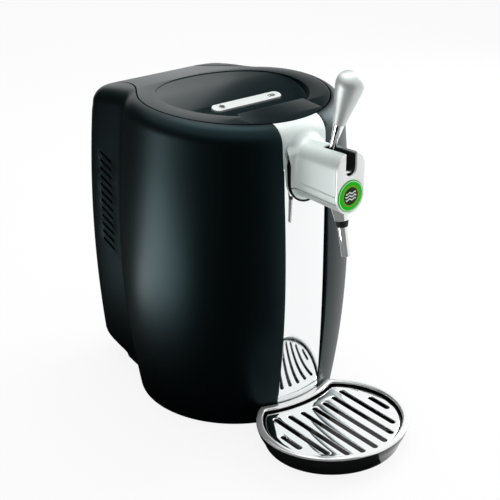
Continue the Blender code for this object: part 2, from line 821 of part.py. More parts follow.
def shell_wall():
    """The hollow body skin with the lid's opening, before it is parted."""
    hollow = body_form(WALL, -OVERRUN)
    skin = cut(body_form(edge=BASE_ROUND), hollow)
    return cut(skin, above(lid_outline(LID_GAP / 2), NECK_HEIGHT - SHOULDER_ROUND))


def vent_slots():
    """Slanted slots through the tail's side wall."""
    slots = []
    for i in range(VENT_COUNT):
        low = VENT_LOW + VENT_PITCH * i
        outline = [
            (VENT_FRONT, low),
            (VENT_REAR, low + VENT_RISE),
            (VENT_REAR, low + VENT_RISE + VENT_SLOT_HEIGHT),
            (VENT_FRONT, low + VENT_SLOT_HEIGHT),
        ]
        slots.append(cross_prism(outline, TAIL_HALF_WIDTH - OVERRUN, TAIL_HALF_WIDTH + OVERRUN))
    return merged(slots)


def half_shell(wall):
    """The right-hand skin: it stops at the front strip, at the rear panel and at a seam under the tail."""
    front = STRIP_HALF_WIDTH + GAP
    panel = PANEL_HALF_WIDTH + MOULD_GAP
    right = box(GAP, BELLY_RADIUS + OVERRUN, -BELLY_RADIUS - OVERRUN, TAIL_REAR + OVERRUN, -OVERRUN,
                CROWN_HEIGHT + OVERRUN)
    front_way = box(-front, front, -BELLY_RADIUS - OVERRUN, 0, -OVERRUN, CROWN_HEIGHT + OVERRUN)
    panel_way = box(-panel, panel, TONGUE_STRAIGHT, TAIL_REAR + OVERRUN, PANEL_BOTTOM - MOULD_GAP,
                    CROWN_HEIGHT + OVERRUN)
    return cut(common(wall, right), front_way, panel_way, vent_slots())


def shells(wall, root):
    right = half_shell(wall)
    left = copied(right, Matrix.Scale(-1, 4, (1, 0, 0)))
    left.flip_normals()
    piece("right_shell", right, "satin_black", root)
    piece("left_shell", left, "satin_black", root)


def grille_slots(radius, count, pitch, height, centre, front, rear):
    """Level slots whose lengths follow a circle."""
    slots = []
    for i in range(count):
        level = (i - (count - 1) / 2) * pitch
        half = math.sqrt(radius * radius - level * level)
        outline = rectangle(-half, half, centre + level - height / 2, centre + level + height / 2)
        slots.append(side_prism(outline, front, rear))
    return merged(slots)


def rear_panel(wall, root):
    region = box(-PANEL_HALF_WIDTH, PANEL_HALF_WIDTH, TONGUE_STRAIGHT, TAIL_REAR + OVERRUN, PANEL_BOTTOM,
                 CROWN_HEIGHT + OVERRUN)
    slots = grille_slots(GRILLE_RADIUS, GRILLE_COUNT, GRILLE_PITCH, GRILLE_SLOT_HEIGHT, FAN_HEIGHT,
                         TAIL_REAR - OVERRUN, TAIL_REAR + OVERRUN)
    hole = moved(rod(GLAND_RADIUS + GAP, -OVERRUN, OVERRUN, SMALL_STEPS),
                 Matrix.Translation((GLAND_SIDE, TAIL_REAR, GLAND_HEIGHT)) @ Matrix.Rotation(math.pi / 2, 4, "X"))
    piece("rear_panel", cut(common(wall, region), slots, hole), "satin_black", root)


def panel_face(height):
    """Place of the tail's rear face at a height."""
    return TAIL_REAR - TAIL_REAR_LOSS * ((height - TAIL_BELLY_HEIGHT) / TAIL_BELLY_REACH) ** 2


def cord_gland(root):
    """A bushing with a flange on the panel's outer face."""
    profile = [
        (GLAND_BORE, -GLAND_DEPTH), (GLAND_RADIUS, -GLAND_DEPTH), (GLAND_RADIUS, GAP),
        (GLAND_FLANGE_RADIUS, GAP), (GLAND_FLANGE_RADIUS, GLAND_FLANGE), (GLAND_BORE, GLAND_FLANGE),
    ]
    face = panel_face(GLAND_HEIGHT + GLAND_FLANGE_RADIUS)
    mesh = moved(turned(profile, SMALL_STEPS, closed=True),
                 Matrix.Translation((GLAND_SIDE, face, GLAND_HEIGHT)) @ Matrix.Rotation(-math.pi / 2, 4, "X"))
    piece("cord_gland", mesh, "rubber", root)


# Front strip

def front_band(inset, thickness, half_width, low, high):
    """A band of the front wall between two depths, behind the set-back face of the strip."""
    outer = body_form(inset, -OVERRUN, set_back=strip_set_back)
    inner = body_form(inset + thickness, -OVERRUN - thickness, set_back=strip_set_back)
    region = box(-half_width, half_width, -BELLY_RADIUS - OVERRUN, -LID_RADIUS / 2, low, high)
    return common(cut(outer, inner), region)


def tap_outline(grow):
    """The tap's upright oval, from its lowest point over the right side to its highest and back."""
    radius = TAP_RADIUS + grow
    half = arc(0, TAP_LOW, radius, -90, 0, TAP_LOW_STEPS)
    half += [(radius, blend(TAP_LOW, TAP_HIGH, i / TAP_SIDE_STEPS)) for i in range(1, TAP_SIDE_STEPS)]
    half += arc(0, TAP_HIGH, radius, 0, 90, TAP_HIGH_STEPS)
    return mirrored(half)


def root_outline(radius, top):
    """A round-bottomed outline with upright sides and a level top."""
    half = arc(0, TAP_LOW, radius, -90, 0, TAP_LOW_STEPS)
    half += [(radius, top), (0, top)]
    return mirrored(half)


def front_strip(root):
    band = front_band(0, STRIP_THICKNESS, STRIP_HALF_WIDTH, STRIP_BOTTOM, CROWN_HEIGHT + OVERRUN)
    opening = side_prism(tap_outline(ROOT_OPENING_GROWTH), -BELLY_RADIUS - OVERRUN, -LID_RADIUS)
    band = cut(band, above(lid_outline(LID_GAP / 2), NECK_HEIGHT - SHOULDER_ROUND), opening)
    piece("front_strip", band, "mirror_chrome", root)


def front_carrier(root):
    band = front_band(STRIP_THICKNESS + GAP, CARRIER_THICKNESS, STRIP_HALF_WIDTH - GAP, CARRIER_BOTTOM, CARRIER_TOP)
    seat = side_prism(root_outline(ROOT_PLATE_RADIUS + GAP, ROOT_PLATE_TOP + GAP), -BELLY_RADIUS - OVERRUN,
                      ROOT_PLATE_THICKNESS + GAP - ROOT_PLATE_FRONT)
    piece("front_carrier", cut(band, seat), "inner_black", root)


# Lid

def lid_block(inset, low):
    """The lid's plan drawn up from a level, with its sides drawn in towards the bottom edge for the swing."""
    rings = []
    for height in (low, CROWN_HEIGHT + OVERRUN):
        draft = SKIRT_DRAFT * (CROWN_HEIGHT - height) / LID_DEPTH
        rings.append([(x, y, height) for x, y in lid_outline(-LID_GAP / 2 - inset - draft)])
    return loft(rings)


def recess_floor(place):
    """Height of the sunk floor, which rolls down towards the grip."""
    share = min(1, max(0, (RECESS_ROLL - place) / (RECESS_ROLL + GRIP_REAR)))
    return crown(place) - RECESS_EDGE_DEPTH - RECESS_FRONT_DEPTH * share * share


def recess_tool(grow):
    """The hollow over the sunk floor, or the same drawn out by a wall."""
    outline = mirrored(arc(0, RECESS_CENTRE, RECESS_RADIUS + grow, -90, 90, RECESS_STEPS))
    ceiling = [(x, y, CROWN_HEIGHT + OVERRUN) for x, y in outline]
    floor = [(x, y, recess_floor(y) - grow) for x, y in outline]
    return loft([ceiling, floor], roof=True)


def grip_region(clearance):
    rear = -GRIP_REAR + clearance
    front = -LID_RADIUS - OVERRUN
    half = [(0, front), (GRIP_FRONT_HALF_WIDTH + clearance, front), (GRIP_REAR_HALF_WIDTH + clearance, rear), (0, rear)]
    return above(mirrored(half), LID_BOTTOM - OVERRUN)


def tube_channel(top):
    """The way of the beer tube from the keg over the deck to the tap."""
    half = TUBE_CHANNEL_HALF_WIDTH
    return box(-half, half, -BELLY_RADIUS, 0, PLUG_BOTTOM - OVERRUN, top)


def pill_turn():
    """Tilt of the sunk floor under the control strip."""
    front, rear = STRIP_PLACE - PILL_WIDTH / 2, STRIP_PLACE + PILL_WIDTH / 2
    return math.atan2(recess_floor(rear) - recess_floor(front), PILL_WIDTH)


def pill_frame():
    return Matrix.Translation((0, STRIP_PLACE, recess_floor(STRIP_PLACE))) @ Matrix.Rotation(pill_turn(), 4, "X")


def pill_outline(grow):
    radius = PILL_WIDTH / 2 + grow
    reach = (PILL_LENGTH - PILL_WIDTH) / 2
    return arc(reach, 0, radius, -90, 90, CORNER_STEPS) + arc(-reach, 0, radius, 90, 270, CORNER_STEPS)


def lid_pieces(lid):
    """The lid's skin with its skirt and sunk floor, and the hollow grip let into its front."""
    block = common(body_form(), lid_block(0, LID_BOTTOM))
    cavity = common(body_form(LID_WALL), lid_block(LID_WALL, LID_BOTTOM - OVERRUN))
    pill_hole = moved(prism(pill_outline(GAP), -OVERRUN / 2, OVERRUN), pill_frame())
    skin = cut(block, recess_tool(0), cut(cavity, recess_tool(LID_WALL)), grip_region(GRIP_GAP), pill_hole)
    carried("lid_top", skin, "lid_black", lid)
    grip = cut(common(block, grip_region(0)), common(cavity, grip_region(-LID_WALL)))
    liner_room = rod(LINER_RADIUS + MOULD_GAP, LID_BOTTOM - OVERRUN, LINER_BOTTOM + LINER_THICKNESS + GAP, ROUND_STEPS)
    carried("lid_grip", cut(grip, liner_room, tube_channel(TUBE_CHANNEL_TOP)), "lid_black", lid)


def lid_liner(lid):
    profile = [
        (0, PLUG_BOTTOM), (PLUG_RADIUS, PLUG_BOTTOM), (PLUG_RADIUS, LINER_BOTTOM), (LINER_RADIUS, LINER_BOTTOM),
        (LINER_RADIUS, LINER_BOTTOM + LINER_THICKNESS), (0, LINER_BOTTOM + LINER_THICKNESS),
    ]
    mesh = cut(turned(profile), tube_channel(TUBE_CHANNEL_LINER_TOP))
    carried("lid_liner", mesh, "inner_black", lid)


def lid_seal(lid):
    mesh = tube(SEAL_INNER, SEAL_OUTER, DECK_TOP + GAP, LINER_BOTTOM - GAP)
    carried("lid_seal", cut(mesh, tube_channel(TUBE_CHANNEL_LINER_TOP)), "seal_grey", lid)


def hinge_bore(left, right, radius):
    return moved(rod(radius, left, right),
                 Matrix.Translation((0, HINGE_PLACE, HINGE_HEIGHT)) @ Matrix.Rotation(math.pi / 2, 4, "Y"))


def eye_points(start, end):
    return arc(HINGE_PLACE, HINGE_HEIGHT, HINGE_EYE, start, end, CORNER_STEPS)


def hinge_arms(lid):
    """Two arms on a plate under the tongue, each with an eye round the hinge pin."""
    front = HINGE_PLACE - HINGE_ARM_REACH
    top = CROWN_HEIGHT
    outline = eye_points(-90, 0)
    outline += [(HINGE_PLACE + HINGE_EYE, top), (front, top), (front, LINER_BOTTOM + HINGE_ARM_FOOT)]
    middle = HINGE_ARM_INSIDE + HINGE_ARM_WIDTH / 2
    arms = box(-middle, middle, front, HINGE_PLACE - HINGE_PLATE_REAR, LID_BOTTOM, top)
    arms = cut(arms, body_form(LID_WALL + GAP + HINGE_PLATE))
    for side in (-1, 1):
        ends = sorted(side * (HINGE_ARM_INSIDE + reach) for reach in (0, HINGE_ARM_WIDTH))
        arms = joined(arms, cross_prism(outline, *ends))
    bore = hinge_bore(-HINGE_ARM_INSIDE - OVERRUN, HINGE_ARM_INSIDE + OVERRUN, HINGE_PIN + HINGE_PIN_GAP)
    arms = cut(common(arms, body_form(LID_WALL + GAP)), bore)
    carried("lid_hinge_arms", arms, "inner_black", lid)


def bracket_inside():
    return HINGE_ARM_INSIDE + HINGE_ARM_WIDTH + BRACKET_SIDE_GAP


def hinge_brackets(root):
    """Two brackets on a foot bar on the deck that reach back to the hinge pin from the front."""
    foot = DECK_TOP + GAP
    outline = eye_points(BRACKET_EYE_START, BRACKET_EYE_START + 180)
    outline += [(BRACKET_FRONT, foot + HINGE_EYE), (BRACKET_FRONT, foot), (BRACKET_REAR, foot)]
    middle = bracket_inside() + BRACKET_WIDTH / 2
    frame = box(-middle, middle, BRACKET_FRONT, BRACKET_FRONT + BRACKET_BAR, foot, foot + BRACKET_BAR_HEIGHT)
    for side in (-1, 1):
        ends = sorted(side * (bracket_inside() + reach) for reach in (0, BRACKET_WIDTH))
        frame = joined(frame, cross_prism(outline, *ends))
    bore = hinge_bore(-bracket_inside() - OVERRUN, bracket_inside() + OVERRUN, HINGE_PIN + HINGE_PIN_GAP)
    piece("hinge_brackets", cut(frame, bore), "inner_black", root)


def hinge_pin(root):
    reach = bracket_inside() + BRACKET_WIDTH + HINGE_PIN_OVERHANG
    piece("hinge_pin", hinge_bore(-reach, reach, HINGE_PIN), "steel", root)


def control_strip(lid):
    seat = pivot("control_strip_seat", lid, (0, 0, 0), (pill_turn(), 0, 0))
    seat.location = pill_frame().to_translation() - lid.location
    button_hole = moved(rod(BUTTON_RADIUS + GAP, -OVERRUN, OVERRUN), Matrix.Translation((-KEY_SIDE, 0, 0)))
    lens_hole = box(KEY_SIDE - LENS_HALF_LENGTH - GAP, KEY_SIDE + LENS_HALF_LENGTH + GAP,
                    -LENS_HALF_WIDTH - GAP, LENS_HALF_WIDTH + GAP, -OVERRUN, OVERRUN)
    strip = softened(prism(pill_outline(0), -PILL_DEPTH, PILL_PROUD), PILL_EDGE, EDGE_ANGLE)
    piece("control_strip", cut(strip, button_hole, lens_hole), "pale_silver", seat)
    under = -PILL_DEPTH - GAP
    board = box(-BOARD_LENGTH / 2, BOARD_LENGTH / 2, -BOARD_WIDTH / 2, BOARD_WIDTH / 2, under - BOARD_THICKNESS, under)
    piece("lid_board", board, "board_green", seat)
    key = rod(BUTTON_RADIUS, under + GAP + BUTTON_TRAVEL, PILL_PROUD + BUTTON_PROUD)
    piece("power_button", moved(key, Matrix.Translation((-KEY_SIDE, 0, 0))), "pale_silver", seat)
    lens = box(KEY_SIDE - LENS_HALF_LENGTH, KEY_SIDE + LENS_HALF_LENGTH, -LENS_HALF_WIDTH, LENS_HALF_WIDTH,
               under + GAP, PILL_PROUD)
    piece("temperature_lens", lens, "lens_dark", seat)


# Deck, keg chamber and insulation

def deck(root):
    """A plate round the keg mouth with an upright wall under the edge of the lid's opening."""
    under_shell = body_form(WALL + MOULD_GAP, -OVERRUN)
    reach = TAIL_HALF_WIDTH + OVERRUN + BELLY_RADIUS
    slab = common(under_shell, box(-reach, reach, -reach, DECK_REAR, DECK_TOP - DECK_THICKNESS, DECK_TOP))
    inner = lid_outline(LID_GAP / 2 + GAP)
    outer = lid_outline(LID_GAP / 2 + GAP + WELL_WALL)
    wall = cut(above(outer, DECK_TOP - DECK_THICKNESS / 2), above(inner, DECK_TOP - DECK_THICKNESS - OVERRUN))
    wall = common(wall, under_shell)
    mouth = rod(CHAMBER_RADIUS + CHAMBER_WALL + MOULD_GAP, DECK_TOP - OVERRUN, DECK_TOP + OVERRUN, ROUND_STEPS)
    half = TUBE_CHANNEL_HALF_WIDTH
    channel = box(-half, half, -BELLY_RADIUS, 0, DECK_TOP, TUBE_CHANNEL_TOP)
    piece("deck", cut(joined(slab, wall), mouth, channel), "inner_black", root)


def keg_chamber(root):
    """A rolled wall with a rim that hangs on the deck, and a round floor plate closed to its lower edge."""
    inside = CHAMBER_RADIUS
    outside = CHAMBER_RADIUS + CHAMBER_WALL
    rim_low = DECK_TOP + GAP
    rim_high = rim_low + CHAMBER_WALL
    base = CHAMBER_FLOOR - CHAMBER_WALL
    wall = [(inside, base), (outside, base), (outside, rim_low), (outside + CHAMBER_RIM_WIDTH, rim_low)]
    wall += [(outside + CHAMBER_RIM_WIDTH, rim_high), (inside, rim_high)]
    piece("keg_chamber", turned(wall, closed=True), "aluminium", root)
    floor = [(0, base), (inside - GAP, base), (inside - GAP, CHAMBER_FLOOR), (0, CHAMBER_FLOOR)]
    piece("chamber_floor", turned(floor), "aluminium", root)


def insulation(root):
    """Foam between the chamber and the skin, flat at the rear, with a way through for the cold block."""
    inside = CHAMBER_RADIUS + CHAMBER_WALL + MOULD_GAP
    base = CHAMBER_FLOOR - CHAMBER_WALL - MOULD_GAP
    profile = [(0, FOAM_BOTTOM)]
    for share in FOAM_LEVEL_SHARES:
        height = blend(FOAM_BOTTOM, FOAM_TOP, share)
        profile.append((barrel_radius(height) - FOAM_CLEARANCE, height))
    profile += [(inside, FOAM_TOP), (inside, base), (0, base)]
    half = BLOCK_HALF_WIDTH + MOULD_GAP
    reach = BLOCK_HEIGHT / 2 + MOULD_GAP
    way = box(-half, half, 0, BELLY_RADIUS, FAN_HEIGHT - reach, FAN_HEIGHT + reach)
    way = cut(way, rod(inside - WALL, 0, CROWN_HEIGHT, ROUND_STEPS))
    rear = box(-BELLY_RADIUS, BELLY_RADIUS, BLOCK_REAR, BELLY_RADIUS + OVERRUN, 0, CROWN_HEIGHT)
    piece("insulation", cut(turned(profile), way, rear), "foam", root)


# Cooling unit

def cold_block(root):
    block = box(-BLOCK_HALF_WIDTH, BLOCK_HALF_WIDTH, 0, BLOCK_REAR, FAN_HEIGHT - BLOCK_HEIGHT / 2,
                FAN_HEIGHT + BLOCK_HEIGHT / 2)
    saddle = rod(CHAMBER_RADIUS + CHAMBER_WALL + MOULD_GAP, 0, CROWN_HEIGHT, ROUND_STEPS)
    piece("cold_block", cut(block, saddle), "aluminium", root)


def module_rear():
    return BLOCK_REAR + GAP + MODULE_THICKNESS


def thermoelectric_module(root):
    half = MODULE_SIDE / 2
    mesh = box(-half, half, BLOCK_REAR + GAP, module_rear(), FAN_HEIGHT - half, FAN_HEIGHT + half)
    piece("thermoelectric_module", mesh, "ceramic_white", root)


def heat_sink(root):
    """An extruded comb: a base plate with upright fins that point to the fan."""
    front = module_rear() + GAP
    base = front + SINK_BASE
    tip = base + SINK_FIN_DEPTH
    half = SINK_WIDTH / 2
    outline = [(-half, front), (half, front)]
    pitch = (SINK_WIDTH - SINK_FIN) / (SINK_FIN_COUNT - 1)
    for i in range(SINK_FIN_COUNT):
        right = half - pitch * i
        outline += [(right, base), (right, tip), (right - SINK_FIN, tip), (right - SINK_FIN, base)]
    outline = [point for point in outline if point not in ((half, base), (-half, base))]
    mesh = prism(outline, FAN_HEIGHT - SINK_HEIGHT / 2, FAN_HEIGHT + SINK_HEIGHT / 2)
    piece("heat_sink", mesh, "aluminium", root)


def fan_front():
    return module_rear() + GAP + SINK_BASE + SINK_FIN_DEPTH + GAP


def towards_rear(place):
    """Turns a piece made about the vertical so that its axis points to the rear."""
    return Matrix.Translation((0, place, FAN_HEIGHT)) @ Matrix.Rotation(-math.pi / 2, 4, "X")


def rounded_square(half, corner):
    reach = half - corner
    points = []
    for x, y, start in ((reach, reach, 0), (-reach, reach, 90), (-reach, -reach, 180), (reach, -reach, 270)):
        points += arc(x, y, corner, start, start + 90, EDGE_STEPS)
    return points


def fan_frame(root):
    """A square frame round the rotor, with a motor seat on four struts at the rear."""
    frame = prism(rounded_square(FAN_SIDE / 2, FAN_CORNER), 0, FAN_DEPTH)
    frame = cut(frame, rod(FAN_BORE, -OVERRUN, FAN_DEPTH + OVERRUN, ROUND_STEPS))
    low = FAN_DEPTH - FAN_STRUT_DEPTH
    reach = FAN_BORE + FAN_STRUT_DEPTH / 2
    spokes = [box(-reach, reach, -FAN_STRUT / 2, FAN_STRUT / 2, low, FAN_DEPTH)]
    spokes.append(box(-FAN_STRUT / 2, FAN_STRUT / 2, -reach, reach, low, FAN_DEPTH))
    seat = rod(FAN_CUP, low, FAN_DEPTH, FAN_CUP_STEPS)
    frame = joined(frame, *spokes, seat)
    piece("fan_frame", moved(frame, towards_rear(fan_front())), "inner_black", root)


def fan_rotor(fan):
    """A hub with pitched blades. Its shaft end runs on the motor seat."""
    hub_top = FAN_DEPTH - FAN_STRUT_DEPTH - FAN_ROTOR_GAP
    hub_low = hub_top - FAN_HUB_DEPTH
    middle = (hub_top + hub_low) / 2
    rotor = rod(FAN_HUB_RADIUS, hub_low, hub_top, FAN_HUB_STEPS)
    start = FAN_HUB_RADIUS - FAN_BLADE_OVERLAP
    half = FAN_BLADE_CHORD / 2
    thin = FAN_BLADE_THICKNESS / 2
    for i in range(FAN_BLADE_COUNT):
        blade = box(start, FAN_BLADE_RADIUS, -half, half, -thin, thin)
        blade.transform(Matrix.Rotation(math.radians(FAN_BLADE_PITCH), 4, "X"))
        blade.transform(Matrix.Translation((0, 0, middle)))
        blade.transform(Matrix.Rotation(math.tau * i / FAN_BLADE_COUNT, 4, "Z"))
        rotor = joined(rotor, blade)
    rotor.transform(towards_rear(fan_front()))
    carried("fan_rotor", rotor, "inner_black", fan)


def power_supply(root):
    low = BODY_FOOT + PAN_THICKNESS + GAP
    mesh = box(SUPPLY_OUTSIDE, SUPPLY_INSIDE, SUPPLY_FRONT, SUPPLY_REAR, low, SUPPLY_TOP)
    piece("power_supply", softened(mesh, SUPPLY_EDGE), "supply_grey", root)


# Base pan, feet and screws

def foot_places():
    reach = FOOT_CIRCLE * math.sqrt(2) / 2
    return {
        "front_left": (-reach, -reach), "front_right": (reach, -reach),
        "rear_left": (-reach, reach), "rear_right": (reach, reach),
    }


def screw_places():
    turns = [math.tau * (i + 0.5) / SCREW_COUNT for i in range(SCREW_COUNT)]
    return [(SCREW_CIRCLE * math.sin(turn), SCREW_CIRCLE * math.cos(turn)) for turn in turns]


def holes(places, radius):
    drill = rod(radius, -OVERRUN, OVERRUN + PAN_RIM_TOP)
    return merged([copied(drill, Matrix.Translation((x, y, 0))) for x, y in places])


def carrier_rear():
    """Place just behind the foot of the carrier, at its side edges."""
    radius = barrel_radius(CARRIER_BOTTOM) - STRIP_THICKNESS - CARRIER_THICKNESS - PAN_CLEARANCE
    return -math.sqrt(radius ** 2 - STRIP_HALF_WIDTH ** 2)


def base_pan(root):
    """A pan inside the foot of the skin, with a rim, a ring rib and holes for feet and screws."""
    top = BODY_FOOT + PAN_THICKNESS
    reach = TAIL_REAR + OVERRUN
    pan = common(body_form(WALL + PAN_CLEARANCE, -OVERRUN), box(-reach, reach, -reach, reach, BODY_FOOT, PAN_RIM_TOP))
    pan = cut(pan, common(body_form(WALL + PAN_CLEARANCE + PAN_RIM_WALL, -OVERRUN),
                          box(-reach, reach, -reach, reach, top, PAN_RIM_TOP + OVERRUN)))
    pan = joined(pan, tube(PAN_RIB_RADIUS, PAN_RIB_RADIUS + PAN_RIB_WIDTH, top - PAN_THICKNESS / 2, PAN_RIB_TOP))
    strip_way = box(-STRIP_HALF_WIDTH, STRIP_HALF_WIDTH, -BELLY_RADIUS, carrier_rear(), CARRIER_BOTTOM - GAP,
                    PAN_RIM_TOP + OVERRUN)
    pan = cut(pan, strip_way, holes(foot_places().values(), FOOT_STEM_RADIUS + GAP),
              holes(screw_places(), SCREW_SHANK_RADIUS + GAP))
    piece("base_pan", pan, "inner_black", root)


def feet(root):
    """Four rubber feet: a disc under the pan and a stem through it."""
    top = BODY_FOOT - GAP
    profile = [
        (0, 0), (FOOT_RADIUS - FOOT_EDGE, 0), (FOOT_RADIUS, FOOT_EDGE), (FOOT_RADIUS, top), (FOOT_STEM_RADIUS, top),
        (FOOT_STEM_RADIUS, BODY_FOOT + PAN_THICKNESS), (0, BODY_FOOT + PAN_THICKNESS),
    ]
    mesh = turned(profile, FOOT_STEPS)
    for name, (x, y) in foot_places().items():
        foot = piece("foot_" + name, mesh, "rubber", root)
        foot.location = (x, y, 0)


def base_screws(root):
    """Pan-head screws under the base."""
    top = BODY_FOOT - GAP
    profile = [
        (0, top - SCREW_HEAD), (SCREW_HEAD_RADIUS, top - SCREW_HEAD), (SCREW_HEAD_RADIUS, top),
        (SCREW_SHANK_RADIUS, top), (SCREW_SHANK_RADIUS, PAN_RIB_TOP), (0, PAN_RIB_TOP),
    ]
    mesh = turned(profile, SCREW_STEPS)
    for i, (x, y) in enumerate(screw_places()):
        screw = piece("base_screw_" + str(i + 1), mesh, "steel", root)
        screw.location = (x, y, 0)


# Tap

def strip_face(side, height):
    """Place of the strip's outer face, over the wall and the rounded shoulder."""
    centre = crown(-LID_RADIUS) - SHOULDER_ROUND
    if height <= centre:
        radius = barrel_radius(height) - strip_set_back(height)
    else:
        rise = min(1, (height - centre) / SHOULDER_ROUND)
        radius = barrel_radius(centre) - SHOULDER_ROUND * (1 - math.sqrt(1 - rise * rise))
    return -math.sqrt(radius * radius - side * side)


def tap_root(side, height):
    """Where the tap's wall ends: on the root plate below, on the strip's shoulder above."""
    share = smooth_share(height, TAP_ROOT_BLEND_LOW, TAP_ROOT_BLEND_HIGH)
    return blend(-ROOT_PLATE_FRONT - GAP, strip_face(side, height) - TAP_SEAT_GAP, share)


def lowered(height):
    """The top of the tap lies lower at its root than at its face."""
    share = max(0, height - TAP_LOW) / (TAP_HIGH + TAP_RADIUS - TAP_LOW)
    return height - TAP_ROOT_DROP * share


def tap_flare(height):
    share = smooth_share(height, TAP_FLARE_BLEND_LOW, TAP_FLARE_BLEND_HIGH)
    return TAP_FLARE * blend(TAP_FLARE_SIDE_SHARE, 1, share)


def flared_ring(angle):
    """A ring of the hollow fillet between the tap and its root."""
    turn = math.radians(angle)
    straight = tap_outline(0)
    wide = tap_outline(TAP_FLARE)
    ring = []
    for (x, z), (wide_x, wide_z) in zip(straight, wide):
        size = tap_flare(z)
        share = size / TAP_FLARE * (1 - math.cos(turn))
        side = blend(x, wide_x, share)
        height = lowered(blend(z, wide_z, share))
        ring.append((side, tap_root(side, height) - size * (1 - math.sin(turn)), height))
    return ring


def tap_tube():
    """The tap's oval wall, open at the face and at the root."""
    front = -TAP_FACE + TAP_FACE_THICKNESS + GAP
    outer = tap_outline(0)
    inner = tap_outline(-TAP_WALL)
    rings = [[(x, front, z) for x, z in outer]]
    rings += [flared_ring(angle) for angle in TAP_FLARE_ANGLES]
    rings.append([(x, tap_root(x, lowered(z)), lowered(z)) for x, z in inner])
    rings.append([(x, front, z) for x, z in inner])
    return loft(rings, loop=True)


def slot_tool():
    """The lever's way over the top of the tap and down its face."""
    half = arc(0, SLOT_LOW + SLOT_HALF_WIDTH, SLOT_HALF_WIDTH, -90, 0, CORNER_STEPS)
    top = TAP_HIGH + TAP_RADIUS + OVERRUN
    half += [(SLOT_HALF_WIDTH, top), (0, top)]
    return side_prism(mirrored(half), -TAP_FACE - OVERRUN, -SLOT_REAR)


def tap_region(low, high):
    reach = TAP_RADIUS + OVERRUN
    return box(-reach, reach, -TAP_FACE - OVERRUN, 0, low, high)


def along_spout():
    return Matrix.Translation((0, -SPOUT_PLACE, SPOUT_HEIGHT)) @ Matrix.Rotation(math.radians(-SPOUT_LEAN), 4, "X")


def tap_shells(root):
    wall = tap_tube()
    half_gap = MOULD_GAP / 2
    hood = common(wall, tap_region(TAP_PARTING + half_gap, CROWN_HEIGHT + OVERRUN))
    piece("tap_hood", cut(hood, slot_tool()), "satin_silver", root)
    trough = common(wall, tap_region(TAP_LOW - TAP_RADIUS - OVERRUN, TAP_PARTING - half_gap))
    beer_hole = moved(rod(SPOUT_BORE, 0, CONE_HIGH), along_spout())
    piece("tap_trough", cut(trough, beer_hole), "satin_silver", root)


def badge_disc(radius, front, rear):
    return moved(rod(radius, front, rear, ROUND_STEPS),
                 Matrix.Translation((0, 0, BADGE_HEIGHT)) @ Matrix.Rotation(math.pi / 2, 4, "X"))


def tap_face(root):
    rear = -TAP_FACE + TAP_FACE_THICKNESS
    plate = softened(side_prism(tap_outline(0), -TAP_FACE, rear), TAP_FACE_EDGE, EDGE_ANGLE)
    seat = badge_disc(BADGE_RADIUS + GAP, TAP_FACE - BADGE_SEAT, TAP_FACE + OVERRUN)
    piece("tap_face", cut(plate, slot_tool(), seat), "satin_silver", root)


def tap_badge(root):
    rear = TAP_FACE - BADGE_SEAT + GAP
    disc = softened(badge_disc(BADGE_RADIUS, rear, rear + BADGE_THICKNESS), BADGE_EDGE, EDGE_ANGLE)
    piece("tap_badge", disc, "badge_green", root)


def across(place, height):
    """Turns a piece made about the vertical so that its axis lies across the tap."""
    return Matrix.Translation((0, -place, height)) @ Matrix.Rotation(math.pi / 2, 4, "Y")


def tap_frame(root):
    """Root plate, two cheeks, a floor and a front bar that carry the lever's pin, its stop and the valve."""
    rear = -ROOT_PLATE_FRONT + ROOT_PLATE_THICKNESS
    frame = side_prism(root_outline(ROOT_PLATE_RADIUS, ROOT_PLATE_TOP), -ROOT_PLATE_FRONT, rear)
    low = TAP_PARTING + FRAME_FLOOR_LIFT
    outside = CHEEK_INSIDE + CHEEK_THICKNESS
    middle = rear - ROOT_PLATE_THICKNESS / 2
    for side in (-1, 1):
        left, right = sorted((side * CHEEK_INSIDE, side * outside))
        frame = joined(frame, box(left, right, -CHEEK_FRONT, middle, low, CHEEK_TOP))
    inner = CHEEK_INSIDE + CHEEK_THICKNESS / 2
    frame = joined(
        frame,
        box(-inner, inner, -FRAME_FLOOR_FRONT, middle, low, low + FRAME_FLOOR_THICKNESS),
        box(-inner, inner, -CHEEK_FRONT, -CHEEK_FRONT + FRAME_BAR_DEPTH, low, FRAME_BAR_TOP),
    )
    reach = outside + OVERRUN
    pin_hole = moved(rod(LEVER_PIN_RADIUS + LEVER_PIN_FIT, -reach, reach), across(LEVER_PLACE, LEVER_HEIGHT))
    stop_hole = moved(rod(STOP_RADIUS + LEVER_PIN_FIT, -reach, reach), across(STOP_PLACE, STOP_HEIGHT))
    piece("tap_frame", cut(frame, pin_hole, stop_hole), "inner_black", root)


def tap_pins(root):
    reach = CHEEK_INSIDE + CHEEK_THICKNESS
    pin = moved(rod(LEVER_PIN_RADIUS, -reach, reach), across(LEVER_PLACE, LEVER_HEIGHT))
    piece("lever_pin", pin, "steel", root)
    stop = moved(rod(STOP_RADIUS, -reach, reach), across(STOP_PLACE, STOP_HEIGHT))
    piece("lever_stop", stop, "mirror_chrome", root)


def valve_body(root):
    """The upright guide of the pinch slide, standing in the trough over the beer hole."""
    low = TAP_LOW - TAP_RADIUS
    body = moved(tube(VALVE_BORE, VALVE_RADIUS, low, VALVE_TOP, 20), Matrix.Translation((0, -VALVE_PLACE, 0)))
    room = side_prism(tap_outline(-TAP_WALL - GAP), -TAP_FACE, -ROOT_PLATE_FRONT)
    piece("valve_body", common(body, room), "inner_black", root)


def finger_top():
    return LEVER_HEIGHT - ARM_THICKNESS / 2 - FINGER_GAP


